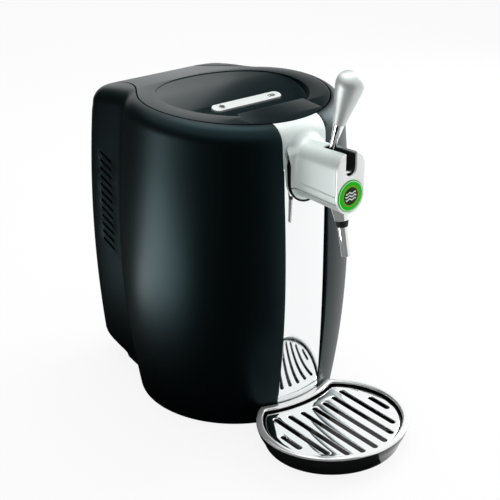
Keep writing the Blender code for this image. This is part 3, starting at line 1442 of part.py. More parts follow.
def pinch_slide(slide):
    """A plunger in the valve body, with a finger under the lever's arm."""
    plunger = moved(rod(SLIDE_RADIUS, SLIDE_BOTTOM, finger_top()), Matrix.Translation((0, -VALVE_PLACE, 0)))
    finger = box(-ARM_HALF_WIDTH, ARM_HALF_WIDTH, -VALVE_PLACE, -FINGER_REACH, finger_top() - FINGER_THICKNESS,
                 finger_top() - MERGE)
    carried("pinch_slide", joined(plunger, finger), "steel", slide)


# Lever

def lever_stem(lever):
    """Hub, stem and the short arm that presses the slide. The stem runs up the leaning axis."""
    hub = moved(rod(HUB_RADIUS, -HUB_HALF_WIDTH, HUB_HALF_WIDTH, LEVER_STEPS), Matrix.Rotation(math.pi / 2, 4, "Y"))
    stem = rod(STEM_RADIUS, STEM_FOOT, KNOB_START + KNOB_SOCKET - GAP, SMALL_STEPS)
    arm = box(-ARM_HALF_WIDTH, ARM_HALF_WIDTH, -ARM_REACH, -STEM_FOOT, -ARM_THICKNESS / 2, ARM_THICKNESS / 2)
    arm.transform(Matrix.Rotation(math.radians(-LEVER_LEAN), 4, "X"))
    bore = moved(rod(HUB_BORE, -OVERRUN, OVERRUN), Matrix.Rotation(math.pi / 2, 4, "Y"))
    piece("lever_stem", cut(joined(hub, stem, arm), bore), "mirror_chrome", lever)


def lever_ferrule(lever):
    inside = STEM_RADIUS + GAP
    profile = [
        (inside, FERRULE_START), (FERRULE_LOW_RADIUS, FERRULE_START),
        (FERRULE_HIGH_RADIUS, KNOB_START - GAP), (inside, KNOB_START - GAP),
    ]
    piece("lever_ferrule", turned(profile, LEVER_STEPS, closed=True), "mirror_chrome", lever)


def lever_knob(lever):
    inside = STEM_RADIUS + GAP
    depth = KNOB_START + KNOB_SOCKET
    profile = [(0, depth), (inside, depth), (inside, KNOB_START)]
    profile += [(share * KNOB_RADIUS, KNOB_START + length * KNOB_LENGTH) for length, share in KNOB_SHARES]
    piece("lever_knob", turned(profile, KNOB_STEPS), "satin_silver", lever)


# Spout

def spout(root):
    """Cone under the trough, collar and nozzle, bored through on one leaning axis."""
    cone = [(SPOUT_BORE, CONE_LOW), (CONE_LOW_RADIUS, CONE_LOW), (CONE_HIGH_RADIUS, CONE_HIGH), (SPOUT_BORE, CONE_HIGH)]
    cone = moved(turned(cone, 24, closed=True), along_spout())
    tap = side_prism(tap_outline(GAP), -TAP_FACE - OVERRUN, -LID_RADIUS)
    piece("spout_cone", cut(cone, tap), "mirror_chrome", root)
    collar = [
        (SPOUT_BORE, COLLAR_LOW), (COLLAR_LOW_RADIUS, COLLAR_LOW), (COLLAR_HIGH_RADIUS, CONE_LOW - GAP),
        (SPOUT_BORE, CONE_LOW - GAP),
    ]
    piece("spout_collar", moved(turned(collar, 24, closed=True), along_spout()), "inner_black", root)
    top = COLLAR_LOW - GAP
    nozzle = [
        (SPOUT_BORE, NOZZLE_END), (NOZZLE_LOW_RADIUS - SPOUT_EDGE, NOZZLE_END),
        (NOZZLE_LOW_RADIUS, NOZZLE_END + SPOUT_EDGE), (NOZZLE_HIGH_RADIUS, top), (SPOUT_BORE, top),
    ]
    piece("spout_nozzle", moved(turned(nozzle, 24, closed=True), along_spout()), "mirror_chrome", root)


# Drip tray

def tray_bite():
    return barrel_radius(TRAY_RIM_TOP) + TRAY_BITE_GAP


def oval_point(inset, turn):
    """A point of the tray's oval, by its angle from the right-hand side."""
    wide = TRAY_HALF_WIDTH - inset
    long = TRAY_HALF_LENGTH - inset * TRAY_LENGTH_SHARE
    return wide * math.cos(turn), long * math.sin(turn) - TRAY_CENTRE


def bite_meet(inset, bite):
    """Angle at which the oval meets the bite's circle."""
    low, high = 0, math.pi / 2
    for _ in range(SEARCH_STEPS):
        middle = (low + high) / 2
        if math.hypot(*oval_point(inset, middle)) > bite:
            low = middle
        else:
            high = middle
    return low


def tray_outline(inset, level):
    """The tray's oval with a hollow bite at the rear that follows the barrel, and rounded corners."""
    bite = tray_bite() + inset
    meet = bite_meet(inset, bite)
    corner = oval_point(inset, meet)
    leave = meet - math.pi * TRAY_CORNER_SHARE
    steps = TRAY_STEPS // 2
    half = [oval_point(inset, blend(-math.pi / 2, leave, i / steps)) for i in range(steps + 1)]
    inner = math.degrees(math.atan2(corner[1], corner[0])) - math.degrees(math.pi * TRAY_CORNER_SHARE / 2)
    rest = arc(0, 0, bite, inner, -90, TRAY_BITE_STEPS)
    half += bezier(half[-1], corner, corner, rest[0], TRAY_CORNER_STEPS)[1:]
    half += rest[1:]
    return [(x, y, level) for x, y in mirrored(half)]


def tray_bowl(tray):
    """A black bowl: foot, flank, rim seat, ledge for the grate and a basin."""
    low, top = TRAY_BOTTOM, TRAY_BOWL_TOP
    levels = (
        (TRAY_BASE_INSET, low), (TRAY_FOOT_INSET, blend(low, top, TRAY_FOOT_SHARE)),
        (TRAY_FLANK_INSET, blend(low, top, TRAY_FLANK_SHARE)), (0, top), (TRAY_WALL, top),
        (TRAY_WALL, TRAY_LEDGE_TOP),
        (TRAY_LEDGE_INSET, TRAY_LEDGE_TOP), (TRAY_BASIN_INSET, TRAY_FLOOR),
    )
    carried("tray_bowl", loft([tray_outline(inset, level) for inset, level in levels]), "satin_black", tray)


def tray_rim(tray):
    """A bright ring with a rounded top that rests on the bowl's edge."""
    low = TRAY_BOWL_TOP + GAP
    edge = TRAY_RIM_WIDTH * TRAY_RIM_EDGE_SHARE
    levels = (
        (0, low), (0, TRAY_RIM_TOP - edge), (edge, TRAY_RIM_TOP), (TRAY_RIM_WIDTH - edge, TRAY_RIM_TOP),
        (TRAY_RIM_WIDTH, TRAY_RIM_TOP - edge), (TRAY_RIM_WIDTH, low),
    )
    mesh = loft([tray_outline(inset, level) for inset, level in levels], loop=True)
    carried("tray_rim", mesh, "mirror_chrome", tray)


def grate_slots():
    """Slots from front to rear. The inner ones end on the tray's circle and along the bite."""
    rear_radius = tray_bite() + GRATE_INSET + GRATE_REAR_GAP + GRATE_SLOT / 2
    radius = GRATE_SLOT / 2
    slots = []
    for i in range(-GRATE_SIDE_COUNT, GRATE_SIDE_COUNT + 1):
        x = i * GRATE_PITCH
        if abs(i) == GRATE_SIDE_COUNT:
            front, rear = -GRATE_FRONT_CENTRE - GRATE_OUTER_HALF, -GRATE_FRONT_CENTRE + GRATE_OUTER_HALF
        else:
            front = -GRATE_FRONT_CENTRE - math.sqrt(GRATE_FRONT_RADIUS ** 2 - x ** 2)
            rear = -math.sqrt(rear_radius ** 2 - x ** 2)
        outline = arc(x, front + radius, radius, 180, 360, SLOT_STEPS) + arc(x, rear - radius, radius, 0, 180, SLOT_STEPS)
        slots.append(prism(outline, TRAY_FLOOR, TRAY_RIM_TOP))
    return merged(slots)


def tray_grate(grate):
    low = TRAY_LEDGE_TOP + GAP
    plate = loft([tray_outline(GRATE_INSET, level) for level in (low, low + GRATE_THICKNESS)])
    carried("tray_grate", cut(plate, grate_slots()), "mirror_chrome", grate)


# Assembly

def clear_scene():
    for item in list(bpy.data.objects):
        bpy.data.objects.remove(item)


def build():
    clear_scene()
    shift = (TRAY_CENTRE + TRAY_HALF_LENGTH - TAIL_REAR) / 2
    root = pivot("dispenser", None, (0, shift, 0))
    wall = shell_wall()
    shells(wall, root)
    rear_panel(wall, root)
    cord_gland(root)
    front_strip(root)
    front_carrier(root)
    deck(root)
    keg_chamber(root)
    insulation(root)
    cold_block(root)
    thermoelectric_module(root)
    heat_sink(root)
    fan_frame(root)
    fan_rotor(pivot("fan_axis", root, (0, fan_front(), FAN_HEIGHT)))
    power_supply(root)
    base_pan(root)
    feet(root)
    base_screws(root)
    hinge_brackets(root)
    hinge_pin(root)
    lid = pivot("lid_axis", root, (0, HINGE_PLACE, HINGE_HEIGHT))
    lid_pieces(lid)
    lid_liner(lid)
    lid_seal(lid)
    hinge_arms(lid)
    control_strip(lid)
    tap_shells(root)
    tap_face(root)
    tap_badge(root)
    tap_frame(root)
    tap_pins(root)
    valve_body(root)
    pinch_slide(pivot("pinch_slide_axis", root, (0, -VALVE_PLACE, SLIDE_BOTTOM)))
    lever = pivot("lever_axis", root, (0, -LEVER_PLACE, LEVER_HEIGHT), (math.radians(LEVER_LEAN), 0, 0))
    lever_stem(lever)
    lever_ferrule(lever)
    lever_knob(lever)
    spout(root)
    tray = pivot("tray_slide", root, (0, -TRAY_CENTRE, 0))
    tray_bowl(tray)
    tray_rim(tray)
    tray_grate(tray)


build()
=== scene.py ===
"""Looks of the mini keg beer dispenser: smooth skins, finishes, the studio and the camera.

It is laid out as an add-on and run as a script. Pieces are drawn about the barrel's axis, with
-Y towards the tap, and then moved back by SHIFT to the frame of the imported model.
"""

import json
import math

import bmesh
import bpy
from bpy.props import FloatProperty, FloatVectorProperty, IntProperty, PointerProperty
from mathutils import Matrix, Vector


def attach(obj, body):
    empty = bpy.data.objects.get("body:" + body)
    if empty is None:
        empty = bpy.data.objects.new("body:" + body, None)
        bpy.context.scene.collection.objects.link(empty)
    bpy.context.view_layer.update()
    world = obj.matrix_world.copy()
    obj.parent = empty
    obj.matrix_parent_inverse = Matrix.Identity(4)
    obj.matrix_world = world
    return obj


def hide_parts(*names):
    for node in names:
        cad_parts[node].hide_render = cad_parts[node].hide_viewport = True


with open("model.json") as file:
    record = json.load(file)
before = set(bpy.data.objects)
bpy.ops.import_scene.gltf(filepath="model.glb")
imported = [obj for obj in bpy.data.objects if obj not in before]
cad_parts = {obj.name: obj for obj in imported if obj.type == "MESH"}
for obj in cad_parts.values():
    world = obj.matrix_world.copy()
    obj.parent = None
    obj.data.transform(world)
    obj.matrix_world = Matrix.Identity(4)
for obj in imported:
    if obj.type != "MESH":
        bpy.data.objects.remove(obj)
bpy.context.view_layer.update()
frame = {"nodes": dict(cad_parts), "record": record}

bl_info = {
    "name": "Keg dispenser looks",
    "version": (1, 0, 0),
    "blender": (4, 5, 0),
    "location": "3D View > Sidebar > Keg dispenser",
    "description": "Smooth skins, finishes, lights and camera for the packed beer dispenser",
    "category": "Object",
}

# Place of the barrel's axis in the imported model
SHIFT = 0.0415

# Clearances and overruns, as in the solids
GAP = 0.0003
MOULD_GAP = 0.0004
OVERRUN = 0.020
MERGE = 0.00001

# Body form
BODY_FOOT = 0.003
BELLY_HEIGHT = 0.190
BELLY_RADIUS = 0.1372
BASE_RADIUS_LOSS = 0.0164
NECK_HEIGHT = 0.340
NECK_RADIUS_LOSS = 0.007
BASE_ROUND = 0.0015
CROWN_HEIGHT = 0.380
CROWN_PLACE = 0.020
CROWN_FRONT_REACH = 0.125
CROWN_FRONT_DROP = 0.0052
CROWN_REAR_REACH = 0.161
CROWN_REAR_DROP = 0.0207
SHOULDER_ROUND = 0.020
WALL = 0.003
TAIL_HALF_WIDTH = 0.104
TAIL_REAR = 0.187
TAIL_BELLY_HEIGHT = 0.200
TAIL_BELLY_REACH = 0.140
TAIL_SIDE_LOSS = 0.0040
TAIL_REAR_LOSS = 0.0055
TAIL_CORNER = 0.040
VALLEY_ROUND = 0.025
TAIL_FOOT_LOW = -0.006
TAIL_FOOT_HIGH = 0.038
TAIL_FOOT_SHARE = 0.57

# Vents and rear grille
VENT_COUNT = 12
VENT_PITCH = 0.0104
VENT_SLOT_HEIGHT = 0.0044
VENT_LOW = 0.166
VENT_FRONT = 0.111
VENT_REAR = 0.136
VENT_RISE = 0.008
PANEL_HALF_WIDTH = 0.0594
PANEL_BOTTOM = 0.0700
GRILLE_COUNT = 9
GRILLE_PITCH = 0.0095
GRILLE_SLOT_HEIGHT = 0.0048
GRILLE_RADIUS = 0.046
FAN_HEIGHT = 0.220
GLAND_SIDE = 0.040
GLAND_HEIGHT = 0.088
GLAND_RADIUS = 0.0060

# Front strip
STRIP_HALF_WIDTH = 0.0310
STRIP_THICKNESS = 0.0020
STRIP_BOTTOM = 0.0260
STRIP_EDGE = 0.0004
STRIP_SATIN_LOW = 0.328
STRIP_SATIN_HIGH = 0.360
STRIP_SATIN_ROUGHNESS = 0.42
STRIP_SATIN_METAL_LOSS = 0.55
STRIP_SET_BACK = 0.0032
STRIP_SET_BACK_REACH = 0.165

# Lid
LID_RADIUS = 0.1120
LID_GAP = 0.0016
LID_BOTTOM = 0.3500
LID_WALL = 0.0030
LID_DEPTH = 0.030
SKIRT_DRAFT = 0.0020
TONGUE_HALF_WIDTH = 0.0590
TONGUE_END = 0.1765
TONGUE_STRAIGHT = 0.150
TONGUE_CORNER = 0.004
TONGUE_INNER_CORNER = 0.001
TONGUE_LEAVE = 25.4
TONGUE_EASE_OUT = 0.035
TONGUE_EASE_IN = 0.045
RECESS_RADIUS = 0.0895
RECESS_CENTRE = 0.003
RECESS_EDGE_DEPTH = 0.0010
RECESS_FRONT_DEPTH = 0.0200
RECESS_ROLL = 0.038
GRIP_REAR = 0.0663
GRIP_REAR_HALF_WIDTH = 0.0480
GRIP_FRONT_HALF_WIDTH = 0.0492
GRIP_GAP = 0.0005
LINER_RADIUS = 0.1048
LINER_BOTTOM = 0.3503
LINER_THICKNESS = 0.0026
PLUG_BOTTOM = 0.3420
TUBE_CHANNEL_HALF_WIDTH = 0.0055
TUBE_CHANNEL_TOP = 0.3515

# Control strip
STRIP_PLACE = -0.0235
PILL_LENGTH = 0.098
PILL_WIDTH = 0.0135
PILL_PROUD = 0.0022
PILL_DEPTH = 0.0034
BUTTON_RADIUS = 0.0046
BUTTON_PROUD = 0.0003
BUTTON_LOW = -0.0026
KEY_SIDE = 0.0360
LENS_HALF_LENGTH = 0.0045
LENS_HALF_WIDTH = 0.0020

# Raised marks: an open ring with a bar on the key, a bulb with a column over the window
MARK_SUNK = 0.0001
MARK_PROUD = 0.00006
POWER_RING_RADIUS = 0.0033
POWER_RING_WIDTH = 0.0009
POWER_RING_START = -240
POWER_RING_END = 60
POWER_BAR_HALF_WIDTH = 0.0005
POWER_BAR_FOOT = 0.0014
POWER_BAR_END = 0.0042
GAUGE_BULB_RADIUS = 0.0011
GAUGE_BULB_SIDE = -0.0030
GAUGE_START = -0.0024
GAUGE_END = 0.0032
GAUGE_HALF_WIDTH = 0.0004

# Tap
TAP_RADIUS = 0.0197
TAP_LOW = 0.3101
TAP_HIGH = 0.3415
TAP_WALL = 0.0022
TAP_FACE = 0.2008
TAP_FACE_THICKNESS = 0.0026
TAP_FACE_EDGE = 0.0007
TAP_PARTING = 0.3038
TAP_SEAM_GAP = 0.0010
TAP_GROOVE_RISE = 0.0090
TAP_GROOVE_WIDTH = 0.0006
TAP_GROOVE_DEPTH = 0.0006
TAP_GROOVE_REAR = 0.1440
TAP_ROOT_DROP = 0.0040
TAP_FLARE = 0.0090
TAP_FLARE_SIDE_SHARE = 0.48
TAP_FLARE_BLEND_LOW = 0.330
TAP_FLARE_BLEND_HIGH = 0.350
TAP_ROOT_BLEND_LOW = 0.3415
TAP_ROOT_BLEND_HIGH = 0.3515
TAP_SEAT_GAP = 0.0002
ROOT_OPENING_GROWTH = 0.0065
ROOT_OPENING_TOP_GROWTH = 0.0015
ROOT_PLATE_FRONT = 0.1312
SLOT_HALF_WIDTH = 0.0076
SLOT_REAR = 0.1635
SLOT_LOW = 0.3334
WELL_WALL = 0.0006
WELL_RISE = 0.0135
WELL_REAR_REACH = 0.0105
BADGE_RADIUS = 0.0177
BADGE_HEIGHT = 0.3112
BADGE_THICKNESS = 0.0013
BADGE_SEAT = 0.0008
BADGE_EDGE = 0.0004

# Print of the badge: two thin rings, and waves on a roundel
PRINT_EDGE_RING = 0.0166
PRINT_INNER_RING = 0.0112
PRINT_RING_HALF_WIDTH = 0.0004
PRINT_ROUNDEL = 0.0100
PRINT_WAVE_REACH = 0.0080
PRINT_WAVE_TURN = 860
PRINT_WAVE_HEIGHT = 0.0008
PRINT_WAVE_PITCH = 0.0036
PRINT_WAVE_HALF_WIDTH = 0.0008

# Lever
TURNED_CHAMFER = 0.0003
LEVER_PLACE = 0.1634
LEVER_HEIGHT = 0.3350
LEVER_LEAN = 17.5
HUB_RADIUS = 0.0065
HUB_HALF_WIDTH = 0.0060
HUB_BORE = 0.0027
STEM_RADIUS = 0.0037
STEM_FOOT = 0.0035
FERRULE_START = 0.0375
FERRULE_LOW_RADIUS = 0.0043
FERRULE_HIGH_RADIUS = 0.0062
FERRULE_END_DROP = 0.0004
KNOB_START = 0.0546
KNOB_LENGTH = 0.0612
KNOB_RADIUS = 0.0152
KNOB_SOCKET = 0.012
KNOB_SHARES = (
    (0, 0.44), (0.015, 0.475), (0.12, 0.54), (0.3, 0.67), (0.48, 0.81), (0.63, 0.93),
    (0.74, 0.99), (0.81, 1), (0.88, 0.93), (0.94, 0.74), (0.98, 0.44), (1, 0),
)
ARM_REACH = 0.0112
ARM_THICKNESS = 0.0030
ARM_HALF_WIDTH = 0.0030

# Spout
SPOUT_PLACE = 0.1900
SPOUT_HEIGHT = 0.2740
SPOUT_LEAN = 13
SPOUT_BORE = 0.0040
CONE_LOW = 0.0055
CONE_HIGH = 0.0300
CONE_LOW_RADIUS = 0.0076
CONE_HIGH_RADIUS = 0.0118
COLLAR_LOW = -0.0015
COLLAR_HIGH_RADIUS = 0.0073
COLLAR_LOW_RADIUS = 0.0060
COLLAR_LAND = 0.001
NOZZLE_END = -0.0348
NOZZLE_HIGH_RADIUS = 0.0057
NOZZLE_LOW_RADIUS = 0.0053
NOZZLE_LIP = 0.0005
NOZZLE_LIP_CUT = 0.00015

# Drip tray
TRAY_CENTRE = 0.1850
TRAY_HALF_WIDTH = 0.0925
TRAY_HALF_LENGTH = 0.0850
TRAY_BITE_GAP = 0.0007
TRAY_CORNER_SHARE = 0.03
TRAY_LENGTH_SHARE = 0.8
TRAY_BOTTOM = 0.0010
TRAY_BOWL_TOP = 0.0262
TRAY_RIM_TOP = 0.0294
TRAY_RIM_WIDTH = 0.0085
TRAY_RIM_ROUND = 3.2
TRAY_FLOOR = 0.0080
TRAY_LEDGE_TOP = 0.0220
TRAY_LEDGE_INSET = 0.0160
TRAY_WALL = 0.0035
TRAY_FOOT_INSET = 0.0100
TRAY_FOOT_ROUND = ((1.4, 0), (1.12, 0.0008), (1, 0.0025))
TRAY_SIDE_SHARE = 0.25
TRAY_SIDE_BEND = 1.15
TRAY_SIDE_TOP = 0.7
TRAY_LIP_LEVEL = 0.88
TRAY_LIP_INSET = 0.0008
TRAY_BASIN_INSET = 0.0200
GRATE_INSET = 0.0118
GRATE_THICKNESS = 0.0023
GRATE_EDGE = 0.0010
GRATE_PITCH = 0.0172
GRATE_SLOT = 0.0062
GRATE_FRONT_CENTRE = 0.1905
GRATE_FRONT_RADIUS = 0.0680
GRATE_REAR_GAP = 0.0090
GRATE_OUTER_HALF = 0.0170
GRATE_SIDE_COUNT = 4

# Colours that belong to no setting
HOOD_SILVER = (0.71, 0.78, 0.76)
PALE_ENAMEL = (0.82, 0.86, 0.82)
RED_ENAMEL = (0.55, 0.03, 0.02)
DARK_ENAMEL = (0.004, 0.03, 0.006)
COOL_GLOSS = (0.45, 0.90, 1)
CARD_BLACK = (0.004, 0.004, 0.004)

# Studio
OVERHEAD_SIZE = (1.2, 1.2)
OVERHEAD_PLACE = (0.2, 0.4, 1.9)
OVERHEAD_VIEW = (-0.2, -0.38, -1.6)
LEFT_SIZE = (1.2, 0.44)
LEFT_PLACE = (-0.88, 0.42, 0.02)
LEFT_BEARING = 150
RIGHT_SIZE = (0.7, 1.2)
RIGHT_PLACE = (1.45, 0.1, 0.7)
RIGHT_VIEW = (-1.45, -0.15, -0.45)
CARD_STEPS = 24
FLOOR_HALF_SIDE = 6
FLOOR_WHITE_SHARE = 0.88
SENSOR_WIDTH = 36
NEAR_CLIP = 0.05


# Settings that a user would change

class DispenserFinishes(bpy.types.PropertyGroup):
    """Colours and gloss of the dispenser's own finishes."""

    body: FloatVectorProperty(
        name="Body black", description="Colour of the moulded body",
        subtype="COLOR", size=3, min=0, max=1, default=(0.0010, 0.0018, 0.0022))
    lid: FloatVectorProperty(
        name="Lid grey-black", description="Colour of the moulded lid",
        subtype="COLOR", size=3, min=0, max=1, default=(0.0030, 0.0080, 0.0090))
    silver: FloatVectorProperty(
        name="Knob silver", description="Colour of the knob's satin lacquer",
        subtype="COLOR", size=3, min=0, max=1, default=(0.66, 0.70, 0.69))
    chrome: FloatVectorProperty(
        name="Chrome", description="Colour of the bright plating",
        subtype="COLOR", size=3, min=0, max=1, default=(0.92, 0.94, 0.94))
    badge: FloatVectorProperty(
        name="Badge green", description="Field of the round badge",
        subtype="COLOR", size=3, min=0, max=1, default=(0.0010, 0.58, 0.003))
    body_roughness: FloatProperty(
        name="Body roughness", description="Gloss of the moulded body", min=0, max=1, default=0.40)
    chrome_roughness: FloatProperty(
        name="Chrome roughness", description="Gloss of the bright plating", min=0, max=1,
        default=0.045)


class DispenserDetail(bpy.types.PropertyGroup):
    """Fineness of the curved skins and width of the rounded edges."""

    barrel_steps: IntProperty(
        name="Barrel steps", description="Steps from front to tail", min=12, max=120, default=44)
    wall_steps: IntProperty(
        name="Wall steps", description="Steps up the wall", min=6, max=60, default=22)
    round_steps: IntProperty(
        name="Round steps", description="Steps round small turned parts", min=16, default=64)
    tray_steps: IntProperty(
        name="Tray steps", description="Steps round half the tray", min=16, max=200, default=60)
    edge: FloatProperty(
        name="Edge", description="Width of the rounded edges", unit="LENGTH", min=0, max=0.002,
        default=0.0005)


class DispenserStudio(bpy.types.PropertyGroup):
    """Lights and camera."""

    lens: FloatProperty(
        name="Lens", description="Focal length in millimetres", min=10, default=86.83)
    camera_place: FloatVectorProperty(
        name="Camera place", description="Where the camera stands",
        subtype="TRANSLATION", size=3, default=(-0.826373, -1.024970, 0.786192))
    camera_view: FloatVectorProperty(
        name="Camera view", description="Direction in which the camera looks",
        subtype="DIRECTION", size=3, default=(0.568069, 0.712770, -0.411355))
    room: FloatProperty(
        name="Room light", description="Strength of the pale room", min=0, default=0.55)
    key: FloatProperty(
        name="Key light", description="Power of the overhead box", unit="POWER", min=0, default=14)
    side: FloatProperty(
        name="Side light", description="Power of the left box", unit="POWER", min=0, default=9.4)
    fill: FloatProperty(
        name="Fill light", description="Power of the right box", unit="POWER", min=0, default=20)


# Plane curves

def arc(x, y, radius, start, end, steps):
    turn = math.radians(end - start) / steps
    first = math.radians(start)
    return [(x + radius * math.cos(first + turn * i), y + radius * math.sin(first + turn * i))
            for i in range(steps + 1)]


def bezier(first, leave, arrive, last, steps):
    points = []
    for i in range(steps + 1):
        t = i / steps
        u = 1 - t
        weights = (u * u * u, 3 * u * u * t, 3 * u * t * t, t * t * t)
        corners = (first, leave, arrive, last)
        points.append(tuple(sum(w * c[k] for w, c in zip(weights, corners)) for k in (0, 1)))
    return points


def mirrored(half):
    """Closes a half outline, which runs from front centre to rear centre, with its mirror image."""
    return half + [(-x, y) for x, y in reversed(half[1:-1])]


def smooth_share(value, low, high):
    t = min(1, max(0, (value - low) / (high - low)))
    return t * t * (3 - 2 * t)


def blend(first, last, share):
    return first + (last - first) * share


def level_row(first, last, steps):
    return [blend(first, last, i / steps) for i in range(steps + 1)]


# Meshes

def to_mesh(work, recalculate=True):
    if recalculate:
        bmesh.ops.recalc_face_normals(work, faces=work.faces)
    mesh = bpy.data.meshes.new("shape")
    work.to_mesh(mesh)
    work.free()
    return mesh


def loft(rings, loop=False, roof=False):
    """Skins a row of rings of equal counts, and closes its ends or joins the last to the first."""
    work = bmesh.new()
    rows = [[work.verts.new(point) for point in ring] for ring in rings]
    pairs = list(zip(rows, rows[1:]))
    if loop:
        pairs.append((rows[-1], rows[0]))
    for low, high in pairs:
        for i, vert in enumerate(low):
            after = (i + 1) % len(low)
            work.faces.new((vert, low[after], high[after], high[i]))
    if not loop:
        bmesh.ops.contextual_create(work, geom=rows[0])
        if roof:
            roof_cap(work, rows[-1])
        else:
            bmesh.ops.contextual_create(work, geom=rows[-1])
    return to_mesh(work)


def roof_cap(work, row):
    """Strips across the ring, whose halves mirror each other, up to the level rear edge."""
    flat = len(row) // 2
    while row[flat - 1].co.y > row[flat].co.y - MERGE:
        flat -= 1
    for i in range(flat - 1):
        corners = [row[i], row[i + 1], row[-i - 1], row[-i % len(row)]]
        work.faces.new(list(dict.fromkeys(corners)))
    work.faces.new(row[flat - 1:len(row) - flat + 2])


def turned(profile, steps, closed=False):
    """Spins a profile of radii and heights about the vertical."""
    work = bmesh.new()
    verts = [work.verts.new((radius, 0, height)) for radius, height in profile]
    edges = [work.edges.new(pair) for pair in zip(verts, verts[1:])]
    if closed:
        edges.append(work.edges.new((verts[-1], verts[0])))
    bmesh.ops.spin(work, geom=verts + edges, cent=(0, 0, 0), axis=(0, 0, 1), angle=math.tau,
                   steps=steps, use_merge=True)
    bmesh.ops.remove_doubles(work, verts=work.verts, dist=MERGE)
    return to_mesh(work)


def rod(radius, low, high, steps):
    return turned([(0, low), (radius, low), (radius, high), (0, high)], steps)


def prism(outline, low, high):
    return loft([[(x, y, level) for x, y in outline] for level in (low, high)])


def side_prism(outline, front, rear):
    return loft([[(x, place, z) for x, z in outline] for place in (front, rear)])


def cross_prism(outline, left, right):
    return loft([[(side, y, z) for y, z in outline] for side in (left, right)])


def box(left, right, front, rear, low, high):
    work = bmesh.new()
    bmesh.ops.create_cube(work, size=1)
    size = (right - left, rear - front, high - low)
    middle = ((left + right) / 2, (front + rear) / 2, (low + high) / 2)
    bmesh.ops.scale(work, vec=size, verts=work.verts)
    bmesh.ops.translate(work, vec=middle, verts=work.verts)
    return to_mesh(work)


def rounded(mesh, width, angle, segments):
    """Rounds the edges that are sharper than the angle."""
    work = bmesh.new()
    work.from_mesh(mesh)
    bmesh.ops.remove_doubles(work, verts=work.verts, dist=MERGE)
    limit = math.radians(angle)
    edges = [edge for edge in work.edges if edge.is_manifold and edge.calc_face_angle() > limit]
    bmesh.ops.bevel(work, geom=edges, offset=width, segments=segments, profile=0.5,
                    affect="EDGES", material=-1, clamp_overlap=True)
    return to_mesh(work, False)


def moved(mesh, matrix):
    mesh.transform(matrix)
    return mesh


def tilted(place_at, turn):
    """A place with a turn about the X axis, in radians."""
    return Matrix.Translation(place_at) @ Matrix.Rotation(turn, 4, "X")


def flipped(mesh):
    """The mirror image on the other side."""
    image = moved(mesh.copy(), Matrix.Scale(-1, 4, (1, 0, 0)))
    image.flip_normals()
    return image


def merged(meshes):
    work = bmesh.new()
    for mesh in meshes:
        work.from_mesh(mesh)
    return to_mesh(work)


def boolean(body, tool, operation):
    pair = [bpy.data.objects.new(name, mesh) for name, mesh in (("body", body), ("tool", tool))]
    for item in pair:
        bpy.context.scene.collection.objects.link(item)
    modifier = pair[0].modifiers.new(operation, "BOOLEAN")
    modifier.operation = operation
    modifier.solver = "EXACT"
    modifier.object = pair[1]
    bpy.context.view_layer.update()
    finished = pair[0].evaluated_get(bpy.context.evaluated_depsgraph_get())
    result = bpy.data.meshes.new_from_object(finished)
    for item in pair:
        bpy.data.objects.remove(item)
    return result


def cut(body, *tools):
    for tool in tools:
        body = boolean(body, tool, "DIFFERENCE")
    return body


def common(body, tool):
    return boolean(body, tool, "INTERSECT")


def joined(body, *others):
    for other in others:
        body = boolean(body, other, "UNION")
    return body


def place(name, mesh, finish, body, replaced=(), slot=None, sharp=35):
    """Makes a finished piece of a mesh drawn about the barrel, and hangs it on its body."""
    if not len(mesh.polygons):
        raise RuntimeError("the mesh of " + name + " is empty")
    mesh.transform(Matrix.Translation((0, SHIFT, 0)))
    mesh.name = name
    mesh.materials.clear()
    mesh.materials.append(finishes()[finish])
    mesh.polygons.foreach_set("material_index", [0] * len(mesh.polygons))
    mesh.shade_smooth()
    mesh.set_sharp_from_angle(angle=math.radians(sharp))
    item = bpy.data.objects.new(name, mesh)
    bpy.context.scene.collection.objects.link(item)
    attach(item, body)
    if replaced:
        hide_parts(*replaced)


# Shading

class Socket:
    """An output of a node that takes part in sums with numbers and other outputs."""

    def __init__(self, nodes, output):
        self.nodes = nodes
        self.output = output

    def sum_of(self, operation, *values):
        return self.nodes.add("ShaderNodeMath", {"operation": operation}, dict(enumerate(values)))

    def __add__(self, other):
        return self.sum_of("ADD", self, other)

    def __radd__(self, other):
        return self.sum_of("ADD", other, self)

    def __sub__(self, other):
        return self.sum_of("SUBTRACT", self, other)

    def __rsub__(self, other):
        return self.sum_of("SUBTRACT", other, self)

    def __mul__(self, other):
        return self.sum_of("MULTIPLY", self, other)

    def __rmul__(self, other):
        return self.sum_of("MULTIPLY", other, self)

    def __truediv__(self, other):
        return self.sum_of("DIVIDE", self, other)

    def __rtruediv__(self, other):
        return self.sum_of("DIVIDE", other, self)

    def __lt__(self, other):
        return self.sum_of("LESS_THAN", self, other)

    def __gt__(self, other):
        return self.sum_of("GREATER_THAN", self, other)

    def least(self, other):
        return self.sum_of("MINIMUM", self, other)

    def most(self, other):
        return self.sum_of("MAXIMUM", self, other)

    def root(self):
        return self.sum_of("SQRT", self)

    def sine(self):
        return self.sum_of("SINE", self)

    def magnitude(self):
        return self.sum_of("ABSOLUTE", self)


